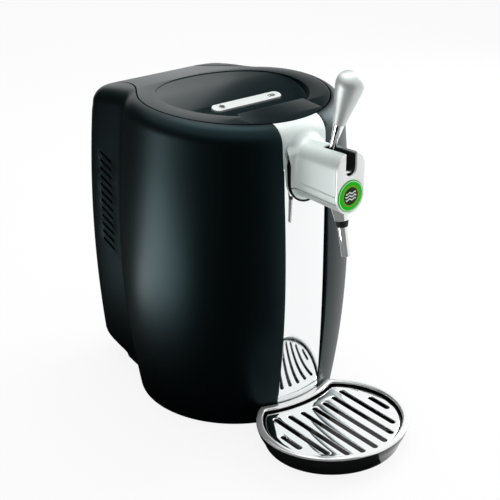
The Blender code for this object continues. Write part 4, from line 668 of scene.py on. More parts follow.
class Nodes:
    """A node tree, and the one way in which nodes come into it."""

    def __init__(self, tree):
        self.tree = tree

    def put(self, socket, value):
        if isinstance(value, Socket):
            self.tree.links.new(value.output, socket)
        else:
            socket.default_value = value

    def add(self, kind, settings=None, values=None, output=0):
        """One node: its settings first, then the values or links of its sockets."""
        node = self.tree.nodes.new(kind)
        for key, value in (settings or {}).items():
            setattr(node, key, value)
        for key, value in (values or {}).items():
            self.put(node.inputs[key], value)
        return Socket(self, node.outputs[output])

    def white_rays(self):
        """Camera, glossy and transmission rays, which see white surroundings."""
        camera, glossy, through = (self.add("ShaderNodeLightPath", output="Is " + kind + " Ray")
                                   for kind in ("Camera", "Glossy", "Transmission"))
        return camera.most(glossy).most(through)


class Shading(Nodes):
    """The nodes of one material."""

    def __init__(self, name):
        self.material = bpy.data.materials.new(name)
        self.material.use_nodes = True
        super().__init__(self.material.node_tree)
        self.shader = self.tree.nodes["Principled BSDF"]

    def surface(self, **values):
        """Values or links for the sockets of the main shader, with spaces as underscores."""
        for key, value in values.items():
            self.put(self.shader.inputs[key.replace("_", " ")], value)
        return self.material

    def here(self):
        return self.add("ShaderNodeTexCoord", output="Object")

    def axes(self):
        here = self.here()
        return [self.add("ShaderNodeSeparateXYZ", None, {0: here}, axis) for axis in "XYZ"]

    def noise(self, scale, detail, roughness=0.5, vector=None):
        values = {"Vector": vector or self.here(), "Scale": scale, "Detail": detail,
                  "Roughness": roughness}
        return self.add("ShaderNodeTexNoise", None, values, "Fac")

    def mix(self, factor, first, second):
        settings = {"data_type": "RGBA", "blend_type": "MIX"}
        return self.add("ShaderNodeMix", settings, {"Factor": factor, 6: first, 7: second}, 2)

    def bump(self, height, strength, distance):
        values = {"Height": height, "Strength": strength, "Distance": distance}
        return self.add("ShaderNodeBump", None, values)


def shade(colour, share=1):
    """A colour made lighter or darker, for a colour socket."""
    return tuple(min(1, part * share) for part in colour) + (1,)


def moulded(name, colour, roughness, grain=2600, specular=0.5, tint=(1, 1, 1)):
    """Moulded plastic with a fine spark-eroded grain."""
    look = Shading(name)
    cloud = look.noise(scale=9, detail=4)
    grains = look.noise(scale=grain, detail=2)
    return look.surface(Base_Color=look.mix(cloud, shade(colour, 0.9), shade(colour, 1.1)),
                        Roughness=roughness - 0.03 + cloud * 0.04 + grains * 0.03,
                        Normal=look.bump(grains, strength=0.35, distance=0.00002),
                        Specular_IOR_Level=specular, Specular_Tint=shade(tint))


def plating(look, colour, roughness):
    """Colour, roughness and relief of bright plating, with the slightest waviness and haze."""
    haze = look.noise(scale=35, detail=5)
    colours = look.mix(haze, shade(colour, 0.985), shade(colour, 1.01))
    relief = look.bump(look.noise(scale=18, detail=1), strength=0.05, distance=0.0002)
    return colours, roughness + haze * 0.02, relief


def plated(name, colour, roughness):
    """The same bright plating all over."""
    look = Shading(name)
    colours, dullness, relief = plating(look, colour, roughness)
    return look.surface(Base_Color=colours, Roughness=dullness, Metallic=1, Normal=relief)


def strip_plating(name, colour, roughness):
    """Bright plating that turns to satin silver where the strip rolls over the shoulder."""
    look = Shading(name)
    _, _, z = look.axes()
    satin = (z - STRIP_SATIN_LOW) / (STRIP_SATIN_HIGH - STRIP_SATIN_LOW)
    satin = satin.most(0).least(1)
    colours, dullness, relief = plating(look, colour, roughness)
    return look.surface(Base_Color=look.mix(satin, colours, shade(HOOD_SILVER)),
                        Roughness=dullness + satin * STRIP_SATIN_ROUGHNESS,
                        Metallic=1 - satin * STRIP_SATIN_METAL_LOSS, Normal=relief)


def satin_metal(name, colour, roughness, metallic):
    """Silver lacquer: fine metal flakes under a satin coat."""
    look = Shading(name)
    flecks = look.noise(scale=5200, detail=2)
    cloud = look.noise(scale=14, detail=3)
    colours = look.mix(flecks * 0.6 + cloud * 0.4, shade(colour, 0.93), shade(colour, 1.06))
    return look.surface(Base_Color=colours, Roughness=roughness + cloud * 0.05, Metallic=metallic,
                        Normal=look.bump(flecks, strength=0.12, distance=0.00002))


def brushed(name, colour, roughness, drawn):
    """Turned or brushed metal with lines drawn out along one way."""
    look = Shading(name)
    lines = look.add("ShaderNodeMapping", None, {"Vector": look.here(), "Scale": drawn})
    grain = look.noise(scale=300, detail=4, roughness=0.6, vector=lines)
    colours = look.mix(grain, shade(colour, 0.88), shade(colour, 1.08))
    return look.surface(Base_Color=colours, Roughness=roughness + grain * 0.12, Metallic=1,
                        Normal=look.bump(grain, strength=0.15, distance=0.00002))


def matt(name, colour, roughness, scale=160, depth=0.00015, spread=0.16):
    """Foam, rubber, ceramic and board: a dull skin with soft pores."""
    look = Shading(name)
    pores = look.noise(scale, detail=6, roughness=0.6)
    colours = look.mix(pores, shade(colour, 1 - spread), shade(colour, 1 + spread))
    return look.surface(Base_Color=colours, Roughness=roughness - pores * 0.08,
                        Normal=look.bump(pores, strength=0.3, distance=depth))


def printed_badge(name, field):
    """Round enamel with a pale and a red ring and a dark roundel with three pale waves."""
    look = Shading(name)
    x, _, z = look.axes()
    up = z - BADGE_HEIGHT
    radius = (x * x + up * up).root()
    cloud = look.noise(scale=60, detail=3)
    wave = up + (x * PRINT_WAVE_TURN).sine() * PRINT_WAVE_HEIGHT
    waves = wave.magnitude() < PRINT_WAVE_HALF_WIDTH
    for level in (PRINT_WAVE_PITCH, -PRINT_WAVE_PITCH):
        waves = waves.most((wave - level).magnitude() < PRINT_WAVE_HALF_WIDTH)
    colours = look.mix(cloud, shade(field, 0.9), shade(field, 1.15))
    for mask, enamel in (
            ((radius - PRINT_EDGE_RING).magnitude() < PRINT_RING_HALF_WIDTH, PALE_ENAMEL),
            ((radius - PRINT_INNER_RING).magnitude() < PRINT_RING_HALF_WIDTH, RED_ENAMEL),
            (radius < PRINT_ROUNDEL, DARK_ENAMEL),
            (waves * (radius < PRINT_WAVE_REACH), PALE_ENAMEL)):
        colours = look.mix(mask, colours, shade(enamel))
    return look.surface(Base_Color=colours, Roughness=0.30 + cloud * 0.05,
                        Specular_IOR_Level=0.12)


FINISHES = {}


def finishes():
    """Makes every finish once."""
    if FINISHES:
        return FINISHES
    wish = bpy.context.scene.dispenser_finishes
    FINISHES.update(
        satin_black=moulded("satin_black_moulding", wish.body, wish.body_roughness, specular=0.28,
                            tint=COOL_GLOSS),
        lid_black=moulded("lid_moulding", wish.lid, 0.30, specular=0.2, tint=COOL_GLOSS),
        inner_black=moulded("inner_moulding", (0.010, 0.010, 0.011), 0.55, grain=1200,
                            specular=0.3),
        gloss_black=moulded("tray_moulding", (0.006, 0.007, 0.007), 0.16),
        lens_dark=moulded("dark_window", (0.02, 0.035, 0.035), 0.12),
        mark_dark=moulded("printed_mark", (0.05, 0.06, 0.06), 0.4),
        mirror_chrome=plated("bright_plating", wish.chrome, wish.chrome_roughness),
        strip_chrome=strip_plating("strip_plating", wish.chrome, wish.chrome_roughness),
        satin_silver=satin_metal("silver_lacquer", wish.silver, 0.46, metallic=0.6),
        hood_silver=satin_metal("hood_lacquer", HOOD_SILVER, 0.50, metallic=0.35),
        pale_silver=satin_metal("pale_lacquer", (0.74, 0.79, 0.77), 0.50, metallic=0.3),
        face_silver=satin_metal("face_lacquer", (0.95, 0.97, 0.97), 0.42, metallic=0.5),
        soft_chrome=satin_metal("soft_plating", (0.94, 0.97, 0.96), 0.06, metallic=0.65),
        badge_green=printed_badge("enamel_badge", wish.badge),
        aluminium=brushed("drawn_aluminium", (0.72, 0.73, 0.74), 0.30, drawn=(1, 1, 40)),
        steel=brushed("plain_steel", (0.58, 0.58, 0.60), 0.28, drawn=(1, 1, 1)),
        foam=matt("rigid_foam", (0.80, 0.78, 0.70), 0.9, scale=420, depth=0.0004),
        ceramic_white=matt("ceramic", (0.85, 0.85, 0.83), 0.5, scale=700, depth=0.00003,
                           spread=0.05),
        rubber=matt("foot_rubber", (0.015, 0.015, 0.015), 0.85, scale=900, depth=0.00005),
        seal_grey=matt("seal_rubber", (0.09, 0.09, 0.10), 0.75, scale=700, depth=0.00005),
        board_green=matt("circuit_board", (0.02, 0.15, 0.05), 0.5, scale=1400, depth=0.00003,
                         spread=0.3),
        supply_grey=matt("supply_case", (0.30, 0.31, 0.32), 0.55, scale=1500, depth=0.00003,
                         spread=0.08),
    )
    return FINISHES


# Body form

def barrel_radius(height):
    if height < BELLY_HEIGHT:
        share = (BELLY_HEIGHT - height) / (BELLY_HEIGHT - BODY_FOOT)
        return BELLY_RADIUS - BASE_RADIUS_LOSS * share ** 2
    share = (height - BELLY_HEIGHT) / (NECK_HEIGHT - BELLY_HEIGHT)
    return BELLY_RADIUS - NECK_RADIUS_LOSS * share ** 2


def strip_set_back(height):
    return STRIP_SET_BACK * max(0, 1 - ((height - BELLY_HEIGHT) / STRIP_SET_BACK_REACH) ** 2)


def crown(y):
    """Height of the roof, which only falls away towards the front and the rear."""
    if y < CROWN_PLACE:
        return CROWN_HEIGHT - CROWN_FRONT_DROP * ((y - CROWN_PLACE) / CROWN_FRONT_REACH) ** 2
    return CROWN_HEIGHT - CROWN_REAR_DROP * ((y - CROWN_PLACE) / CROWN_REAR_REACH) ** 2


def body_outline(height, inset, set_back, steps):
    """Barrel, hollow valley, tail side and rounded tail corner at one height."""
    radius = barrel_radius(height) - inset - set_back
    spread = ((height - TAIL_BELLY_HEIGHT) / TAIL_BELLY_REACH) ** 2
    side = TAIL_HALF_WIDTH - TAIL_SIDE_LOSS * spread - inset
    rear = TAIL_REAR - TAIL_REAR_LOSS * spread - inset
    corner = TAIL_CORNER - inset
    valley = VALLEY_ROUND + inset
    valley_x = side + valley
    valley_y = math.sqrt((radius + valley) ** 2 - valley_x ** 2)
    meet = math.degrees(math.atan2(valley_y, valley_x))
    few = steps // 4
    half = arc(0, 0, radius, -90, meet, steps)
    half += arc(valley_x, valley_y, valley, meet + 180, 180, few)[1:]
    half += [(side, blend(valley_y, rear - corner, share)) for share in (0.33, 0.66)]
    half += arc(side - corner, rear - corner, corner, 0, 90, few)
    half += [((side - corner) / 2, rear), (0, rear)]
    return mirrored(half), meet


def foot_outline(height, inset, set_back, steps):
    """The outline below, where the tail narrows to the foot of the barrel."""
    full, meet = body_outline(height, inset, set_back, steps)
    radius = barrel_radius(height) - inset - set_back
    half = arc(0, 0, radius, -90, meet, steps)
    half += arc(0, 0, radius, meet, 90, len(full) // 2 - steps)[1:]
    share = blend(TAIL_FOOT_SHARE, 1, smooth_share(height, TAIL_FOOT_LOW, TAIL_FOOT_HIGH))
    return [(blend(x, far_x, share), blend(y, far_y, share))
            for (x, y), (far_x, far_y) in zip(mirrored(half), full)]


def body_form(inset=0, floor=BODY_FOOT, edge=0, set_back=lambda height: 0, steps=0, levels=0):
    """The closed outer form of the body, drawn in by the inset."""
    detail = bpy.context.scene.dispenser_detail
    steps = steps or detail.barrel_steps
    levels = levels or detail.wall_steps
    rings = []
    if edge:
        for turn in level_row(0, math.pi / 2, 3)[:-1]:
            drawn = inset + edge * (1 - math.sin(turn))
            level = floor + edge * (1 - math.cos(turn))
            rings.append((foot_outline(level, drawn, set_back(level), steps), level))
    for height in level_row(floor + edge, TAIL_FOOT_HIGH, max(3, levels // 3)):
        rings.append((foot_outline(height, inset, set_back(height), steps), height))
    top = crown(TAIL_REAR) - SHOULDER_ROUND - WALL
    for height in level_row(TAIL_FOOT_HIGH, top, levels)[1:]:
        rings.append((body_outline(height, inset, set_back(height), steps)[0], height))
    solid = [[(x, y, height) for x, y in outline] for outline, height in rings]
    shoulder = crown(-BELLY_RADIUS) - SHOULDER_ROUND
    radius = SHOULDER_ROUND - inset
    for turn in level_row(0, math.pi / 2, max(4, levels // 2)):
        outline, _ = body_outline(shoulder, inset + radius * (1 - math.cos(turn)),
                                  set_back(shoulder), steps)
        rise = radius * math.sin(turn) - SHOULDER_ROUND
        solid.append([(x, y, crown(y) + rise) for x, y in outline])
    return loft(solid, roof=True)


def lid_outline(grow):
    """The lid's round part and its rear tongue, grown all round by a clearance."""
    radius = LID_RADIUS + grow
    half_width = TONGUE_HALF_WIDTH + grow
    corner = max(TONGUE_CORNER + grow, TONGUE_INNER_CORNER)
    end = TONGUE_END + grow
    half = arc(0, 0, radius, -90, TONGUE_LEAVE, steps=52)
    x, y = half[-1]
    turn = math.radians(TONGUE_LEAVE)
    leave = (x - TONGUE_EASE_OUT * math.sin(turn), y + TONGUE_EASE_OUT * math.cos(turn))
    arrive = (half_width, TONGUE_STRAIGHT - TONGUE_EASE_IN)
    half += bezier((x, y), leave, arrive, (half_width, TONGUE_STRAIGHT), steps=20)[1:]
    half += arc(half_width - corner, end - corner, corner, 0, 90, steps=8)
    half.append((0, end))
    return mirrored(half)


def above(outline, low):
    return prism(outline, low, CROWN_HEIGHT + OVERRUN)


def lid_opening():
    """The room of the lid with its gap, from below the shoulder upwards."""
    return above(lid_outline(LID_GAP / 2), NECK_HEIGHT - SHOULDER_ROUND)


def vent_slots():
    slots = []
    for i in range(VENT_COUNT):
        low = VENT_LOW + VENT_PITCH * i
        high = low + VENT_RISE
        outline = [(VENT_FRONT, low), (VENT_REAR, high), (VENT_REAR, high + VENT_SLOT_HEIGHT),
                   (VENT_FRONT, low + VENT_SLOT_HEIGHT)]
        slots.append(cross_prism(outline, TAIL_HALF_WIDTH - OVERRUN, TAIL_HALF_WIDTH + OVERRUN))
    return merged(slots)


def grille_slots():
    slots = []
    for i in range(GRILLE_COUNT):
        level = (i - (GRILLE_COUNT - 1) / 2) * GRILLE_PITCH
        reach = math.sqrt(GRILLE_RADIUS ** 2 - level ** 2)
        low = FAN_HEIGHT + level - GRILLE_SLOT_HEIGHT / 2
        round_end = GRILLE_SLOT_HEIGHT / 2
        outline = arc(reach - round_end, low + round_end, round_end, -90, 90, steps=6)
        outline += arc(round_end - reach, low + round_end, round_end, 90, 270, steps=6)
        slots.append(side_prism(outline, TAIL_REAR - OVERRUN, TAIL_REAR + OVERRUN))
    return merged(slots)


class DISPENSER_OT_body(bpy.types.Operator):
    """Makes the two moulded body skins and the rear panel."""
    bl_idname = "dispenser.body"
    bl_label = "Body skins"

    def execute(self, context):
        edge = context.scene.dispenser_detail.edge
        wall = cut(body_form(edge=BASE_ROUND), body_form(WALL, -OVERRUN, steps=20, levels=8))
        wall = cut(wall, lid_opening())
        front = STRIP_HALF_WIDTH + GAP
        panel = PANEL_HALF_WIDTH + MOULD_GAP
        reach = BELLY_RADIUS + OVERRUN
        rear = TAIL_REAR + OVERRUN
        top = CROWN_HEIGHT + OVERRUN
        right = common(wall, box(GAP, reach, -reach, rear, -OVERRUN, top))
        right = cut(right, box(-front, front, -reach, 0, -OVERRUN, top),
                    box(-panel, panel, TONGUE_STRAIGHT, rear, PANEL_BOTTOM - MOULD_GAP, top),
                    vent_slots())
        right = rounded(right, edge, angle=50, segments=2)
        left = flipped(right)
        place("right_skin", right, "satin_black", "base", ["right_shell"])
        place("left_skin", left, "satin_black", "base", ["left_shell"])
        region = box(-PANEL_HALF_WIDTH, PANEL_HALF_WIDTH, TONGUE_STRAIGHT, rear, PANEL_BOTTOM, top)
        hole = moved(rod(GLAND_RADIUS + GAP, -OVERRUN, OVERRUN, steps=24),
                     tilted((GLAND_SIDE, TAIL_REAR, GLAND_HEIGHT), math.pi / 2))
        cover = cut(common(wall, region), grille_slots(), hole)
        place("rear_cover", rounded(cover, edge, angle=50, segments=2), "satin_black", "base",
              ["rear_panel"])
        return {"FINISHED"}


# Front strip

def strip_band():
    """The bright strip, set a little behind the skins beside it."""
    outer = body_form(0, -OVERRUN, set_back=strip_set_back, steps=110, levels=44)
    inner = body_form(STRIP_THICKNESS, -OVERRUN - STRIP_THICKNESS, set_back=strip_set_back,
                      steps=60, levels=24)
    region = box(-STRIP_HALF_WIDTH, STRIP_HALF_WIDTH, -BELLY_RADIUS - OVERRUN, -LID_RADIUS / 2,
                 STRIP_BOTTOM, CROWN_HEIGHT + OVERRUN)
    return common(cut(common(outer, region), inner), region)


def tap_outline(grow):
    """The tap's upright oval, from its lowest point over the right side to its highest and back."""
    radius = TAP_RADIUS + grow
    half = arc(0, TAP_LOW, radius, -90, 0, steps=24)
    half += [(radius, height) for height in level_row(TAP_LOW, TAP_HIGH, steps=6)[1:-1]]
    half += arc(0, TAP_HIGH, radius, 0, 90, steps=24)
    return mirrored(half)


class DISPENSER_OT_front(bpy.types.Operator):
    """Makes the bright front strip with the opening for the tap's root."""
    bl_idname = "dispenser.front"
    bl_label = "Front strip"

    def execute(self, context):
        opening = []
        wide, narrow = tap_outline(ROOT_OPENING_GROWTH), tap_outline(ROOT_OPENING_TOP_GROWTH)
        for (x, z), (near_x, near_z) in zip(wide, narrow):
            share = smooth_share(z, TAP_FLARE_BLEND_LOW, TAP_FLARE_BLEND_HIGH)
            opening.append((blend(x, near_x, share), blend(z, near_z, share)))
        band = cut(strip_band(), lid_opening(),
                   side_prism(opening, -BELLY_RADIUS - OVERRUN, -LID_RADIUS))
        place("bright_strip", rounded(band, STRIP_EDGE, angle=50, segments=2), "strip_chrome",
              "base", ["front_strip"], "mirror_chrome")
        return {"FINISHED"}


# Lid

def lid_block(inset, low):
    """The lid's plan drawn up from a level, with its sides drawn in towards the bottom edge."""
    rings = []
    for height in (low, CROWN_HEIGHT + OVERRUN):
        draft = SKIRT_DRAFT * (CROWN_HEIGHT - height) / LID_DEPTH
        rings.append([(x, y, height) for x, y in lid_outline(-LID_GAP / 2 - inset - draft)])
    return loft(rings)


def recess_floor(y):
    """Height of the sunk floor, which rolls down towards the grip."""
    share = min(1, max(0, (RECESS_ROLL - y) / (RECESS_ROLL + GRIP_REAR)))
    return crown(y) - RECESS_EDGE_DEPTH - RECESS_FRONT_DEPTH * share * share


def recess_tool(grow, steps=64):
    """The hollow over the sunk floor, or the same drawn out by a wall."""
    outline = mirrored(arc(0, RECESS_CENTRE, RECESS_RADIUS + grow, -90, 90, steps))
    ceiling = [(x, y, CROWN_HEIGHT + OVERRUN) for x, y in outline]
    floor = [(x, y, recess_floor(y) - grow) for x, y in outline]
    return loft([ceiling, floor], roof=True)


def grip_region(clearance):
    rear = -GRIP_REAR + clearance
    front = -LID_RADIUS - OVERRUN
    half = [(0, front), (GRIP_FRONT_HALF_WIDTH + clearance, front),
            (GRIP_REAR_HALF_WIDTH + clearance, rear), (0, rear)]
    return above(mirrored(half), LID_BOTTOM - OVERRUN)


def tube_channel(top):
    """The way of the beer tube from the keg over the deck to the tap."""
    half = TUBE_CHANNEL_HALF_WIDTH
    return box(-half, half, -BELLY_RADIUS, 0, PLUG_BOTTOM - OVERRUN, top)


def pill_frame():
    front, rear = STRIP_PLACE - PILL_WIDTH / 2, STRIP_PLACE + PILL_WIDTH / 2
    turn = math.atan2(recess_floor(rear) - recess_floor(front), PILL_WIDTH)
    return tilted((0, STRIP_PLACE, recess_floor(STRIP_PLACE)), turn)


def pill_outline(grow):
    radius = PILL_WIDTH / 2 + grow
    reach = (PILL_LENGTH - PILL_WIDTH) / 2
    return arc(reach, 0, radius, -90, 90, steps=20) + arc(-reach, 0, radius, 90, 270, steps=20)


class DISPENSER_OT_lid(bpy.types.Operator):
    """Makes the lid's skin with its sunk floor, and the grip let into its front."""
    bl_idname = "dispenser.lid"
    bl_label = "Lid"

    def execute(self, context):
        edge = context.scene.dispenser_detail.edge
        block = common(body_form(), lid_block(0, LID_BOTTOM))
        cavity = common(body_form(LID_WALL, steps=20, levels=10),
                        lid_block(LID_WALL, LID_BOTTOM - OVERRUN))
        pill_hole = moved(prism(pill_outline(GAP), -OVERRUN / 2, OVERRUN), pill_frame())
        hollow = cut(cavity, recess_tool(LID_WALL, steps=24))
        skin = cut(block, recess_tool(0), hollow, grip_region(GRIP_GAP), pill_hole)
        place("lid_skin", rounded(skin, edge, angle=25, segments=3), "lid_black", "lid",
              ["lid_top"], sharp=30)
        grip = cut(common(block, grip_region(0)), common(cavity, grip_region(-LID_WALL)))
        liner_room = rod(LINER_RADIUS + MOULD_GAP, LID_BOTTOM - OVERRUN,
                         LINER_BOTTOM + LINER_THICKNESS + GAP, steps=64)
        grip = cut(grip, liner_room, tube_channel(TUBE_CHANNEL_TOP))
        place("lid_handle", rounded(grip, edge * 2, angle=40, segments=3), "lid_black", "lid",
              ["lid_grip"], sharp=30)
        return {"FINISHED"}


def mark_levels(top):
    """Foot and top of a raised mark on a surface."""
    return top - MARK_SUNK, top + MARK_PROUD


def power_mark(low, high):
    """The plain sign of a power key: an open ring and a bar."""
    outer = POWER_RING_RADIUS + POWER_RING_WIDTH / 2
    inner = POWER_RING_RADIUS - POWER_RING_WIDTH / 2
    outline = arc(0, 0, outer, POWER_RING_START, POWER_RING_END, steps=24)
    outline += arc(0, 0, inner, POWER_RING_END, POWER_RING_START, steps=24)
    bar = box(-POWER_BAR_HALF_WIDTH, POWER_BAR_HALF_WIDTH, POWER_BAR_FOOT, POWER_BAR_END, low, high)
    return merged([prism(outline, low, high), bar])


def temperature_mark(low, high):
    """The plain sign of a temperature: a bulb and a column."""
    bulb = moved(rod(GAUGE_BULB_RADIUS, low, high, steps=24),
                 Matrix.Translation((GAUGE_BULB_SIDE, 0, 0)))
    column = box(GAUGE_START, GAUGE_END, -GAUGE_HALF_WIDTH, GAUGE_HALF_WIDTH, low, high)
    return merged([bulb, column])


class DISPENSER_OT_controls(bpy.types.Operator):
    """Makes the control strip with its key, its marks and its window."""
    bl_idname = "dispenser.controls"
    bl_label = "Control strip"

    def execute(self, context):
        seat = pill_frame()
        edge = context.scene.dispenser_detail.edge
        at_key = Matrix.Translation((-KEY_SIDE, 0, 0))
        at_window = Matrix.Translation((KEY_SIDE, 0, 0))
        key_hole = moved(rod(BUTTON_RADIUS + GAP, -OVERRUN, OVERRUN, steps=40), at_key)
        window = box(KEY_SIDE - LENS_HALF_LENGTH - GAP, KEY_SIDE + LENS_HALF_LENGTH + GAP,
                     -LENS_HALF_WIDTH - GAP, LENS_HALF_WIDTH + GAP, -OVERRUN, OVERRUN)
        bar = rounded(prism(pill_outline(0), -PILL_DEPTH, PILL_PROUD), edge, angle=60, segments=3)
        bar = cut(bar, key_hole, window)
        place("control_bar", moved(bar, seat), "pale_silver", "lid", ["control_strip"])
        top = PILL_PROUD + BUTTON_PROUD
        key = rod(BUTTON_RADIUS, BUTTON_LOW, top, steps=40)
        key = moved(rounded(key, edge / 2, angle=60, segments=2), seat @ at_key)
        place("power_key", key, "pale_silver", "power_button", ["power_button"])
        mark = moved(power_mark(*mark_levels(top)), seat @ at_key)
        place("power_mark", mark, "mark_dark", "power_button", slot="lens_dark")
        mark = moved(temperature_mark(*mark_levels(PILL_PROUD)), seat @ at_window)
        place("temperature_mark", mark, "pale_silver", "lid")
        return {"FINISHED"}


# Tap

def strip_face(side, height):
    """Place of the strip's outer face, over the wall and the rounded shoulder."""
    centre = crown(-LID_RADIUS) - SHOULDER_ROUND
    if height <= centre:
        radius = barrel_radius(height) - strip_set_back(height)
    else:
        rise = min(1, (height - centre) / SHOULDER_ROUND)
        radius = barrel_radius(centre) - SHOULDER_ROUND * (1 - math.sqrt(1 - rise * rise))
    return -math.sqrt(radius * radius - side * side)


def tap_root(side, height):
    """Where the tap's wall ends: on the root plate below, on the strip's shoulder above."""
    share = smooth_share(height, TAP_ROOT_BLEND_LOW, TAP_ROOT_BLEND_HIGH)
    return blend(-ROOT_PLATE_FRONT - GAP, strip_face(side, height) - TAP_SEAT_GAP, share)


def lowered(height):
    share = max(0, height - TAP_LOW) / (TAP_HIGH + TAP_RADIUS - TAP_LOW)
    return height - TAP_ROOT_DROP * share


def tap_flare(height):
    share = smooth_share(height, TAP_FLARE_BLEND_LOW, TAP_FLARE_BLEND_HIGH)
    return TAP_FLARE * blend(TAP_FLARE_SIDE_SHARE, 1, share)


def flared_ring(turn):
    """A ring of the hollow fillet between the tap and its root."""
    ring = []
    for (x, z), (wide_x, wide_z) in zip(tap_outline(0), tap_outline(TAP_FLARE)):
        size = tap_flare(z)
        share = size / TAP_FLARE * (1 - math.cos(turn))
        side = blend(x, wide_x, share)
        height = lowered(blend(z, wide_z, share))
        ring.append((side, tap_root(side, height) - size * (1 - math.sin(turn)), height))
    return ring


def tap_tube():
    """The tap's oval wall, open at the face and at the root."""
    front = -TAP_FACE + TAP_FACE_THICKNESS + GAP
    outer = tap_outline(0)
    inner = tap_outline(-TAP_WALL)
    start = flared_ring(0)
    rings = []
    for share in level_row(0, 1, steps=12)[:-1]:
        rings.append([(blend(x, far_x, share), blend(front, far_y, share), blend(z, far_z, share))
                      for (x, z), (far_x, far_y, far_z) in zip(outer, start)])
    rings += [flared_ring(turn) for turn in level_row(0, math.pi / 2, steps=10)]
    rings.append([(x, tap_root(x, lowered(z)), lowered(z)) for x, z in inner])
    rings.append([(x, front, z) for x, z in inner])
    return loft(rings, loop=True)


def slot_tool():
    """The lever's way over the top of the tap and down its face."""
    half = arc(0, SLOT_LOW + SLOT_HALF_WIDTH, SLOT_HALF_WIDTH, -90, 0, steps=12)
    top = TAP_HIGH + TAP_RADIUS + OVERRUN
    half += [(SLOT_HALF_WIDTH, top), (0, top)]
    return side_prism(mirrored(half), -TAP_FACE - OVERRUN, -SLOT_REAR)


def tap_region(low, high):
    reach = TAP_RADIUS + OVERRUN
    return box(-reach, reach, -TAP_FACE - OVERRUN, 0, low, high)


def tap_groove():
    """A fine line along each side of the hood, above the parting."""
    reach, low = TAP_RADIUS + OVERRUN, TAP_PARTING + TAP_GROOVE_RISE
    line = box(-reach, reach, -TAP_FACE - OVERRUN, -TAP_GROOVE_REAR, low, low + TAP_GROOVE_WIDTH)
    return cut(line, side_prism(tap_outline(-TAP_GROOVE_DEPTH), -TAP_FACE - 2 * OVERRUN, 0))


def along_spout():
    return tilted((0, -SPOUT_PLACE, SPOUT_HEIGHT), math.radians(-SPOUT_LEAN))


def badge_disc(radius, front, rear):
    return moved(rod(radius, front, rear, steps=96), tilted((0, 0, BADGE_HEIGHT), math.pi / 2))


class DISPENSER_OT_tap(bpy.types.Operator):
    """Makes the tap's hood, trough and face plate."""
    bl_idname = "dispenser.tap"
    bl_label = "Tap body"

    def execute(self, context):
        edge = context.scene.dispenser_detail.edge
        wall = tap_tube()
        half_gap = TAP_SEAM_GAP / 2
        hood = common(wall, tap_region(TAP_PARTING + half_gap, CROWN_HEIGHT + OVERRUN))
        hood = cut(hood, slot_tool(), tap_groove())
        trough = common(wall, tap_region(TAP_LOW - TAP_RADIUS - OVERRUN, TAP_PARTING - half_gap))
        trough = cut(trough, moved(rod(SPOUT_BORE, 0, CONE_HIGH, steps=32), along_spout()))
        for name, half, node in (("tap_cover", hood, "tap_hood"),
                                 ("tap_underside", trough, "tap_trough")):
            place(name, rounded(half, edge / 2, angle=50, segments=2), "hood_silver", "base",
                  [node], "satin_silver")
        inside = -TAP_FACE + TAP_FACE_THICKNESS
        plate = cut(side_prism(tap_outline(0), -TAP_FACE, inside), slot_tool(),
                    badge_disc(BADGE_RADIUS + GAP, TAP_FACE - BADGE_SEAT, TAP_FACE + OVERRUN))
        cheek, rear = SLOT_HALF_WIDTH + GAP, -SLOT_REAR + WELL_REAR_REACH
        well = box(-cheek - WELL_WALL, cheek + WELL_WALL, inside + GAP, rear + WELL_WALL,
                   SLOT_LOW, TAP_HIGH + WELL_RISE)
        well = cut(well, box(-cheek, cheek, -TAP_FACE, rear, SLOT_LOW - OVERRUN,
                             TAP_HIGH + TAP_RADIUS))
        place("lever_well", well, "inner_black", "base")
        place("tap_front", rounded(plate, TAP_FACE_EDGE, angle=60, segments=3), "face_silver",
              "base", ["tap_face"], "satin_silver")
        return {"FINISHED"}


class DISPENSER_OT_badge(bpy.types.Operator):
    """Makes the round enamel badge with a plain generic print."""
    bl_idname = "dispenser.badge"
    bl_label = "Badge"

    def execute(self, context):
        rear = TAP_FACE - BADGE_SEAT + GAP
        disc = badge_disc(BADGE_RADIUS, rear, rear + BADGE_THICKNESS)
        place("enamel_disc", rounded(disc, BADGE_EDGE, angle=60, segments=3), "badge_green", "base",
              ["tap_badge"])
        return {"FINISHED"}


# Lever

def lever_frame():
    return tilted((0, -LEVER_PLACE, LEVER_HEIGHT), math.radians(LEVER_LEAN))


def knob_profile():
    """The knob's outline through its measured widths, as a smooth row of points."""
    rows = [(share * KNOB_RADIUS, KNOB_START + length * KNOB_LENGTH)
            for length, share in KNOB_SHARES]
    points = [rows[0]]
    for i in range(len(rows) - 1):
        before = rows[max(i - 1, 0)]
        after = rows[min(i + 2, len(rows) - 1)]
        start, end = rows[i], rows[i + 1]
        leave = tuple(start[k] + (end[k] - before[k]) / 6 for k in (0, 1))
        arrive = tuple(end[k] - (after[k] - start[k]) / 6 for k in (0, 1))
        points += bezier(start, leave, arrive, end, steps=4)[1:]
    return [(max(0, radius), height) for radius, height in points]


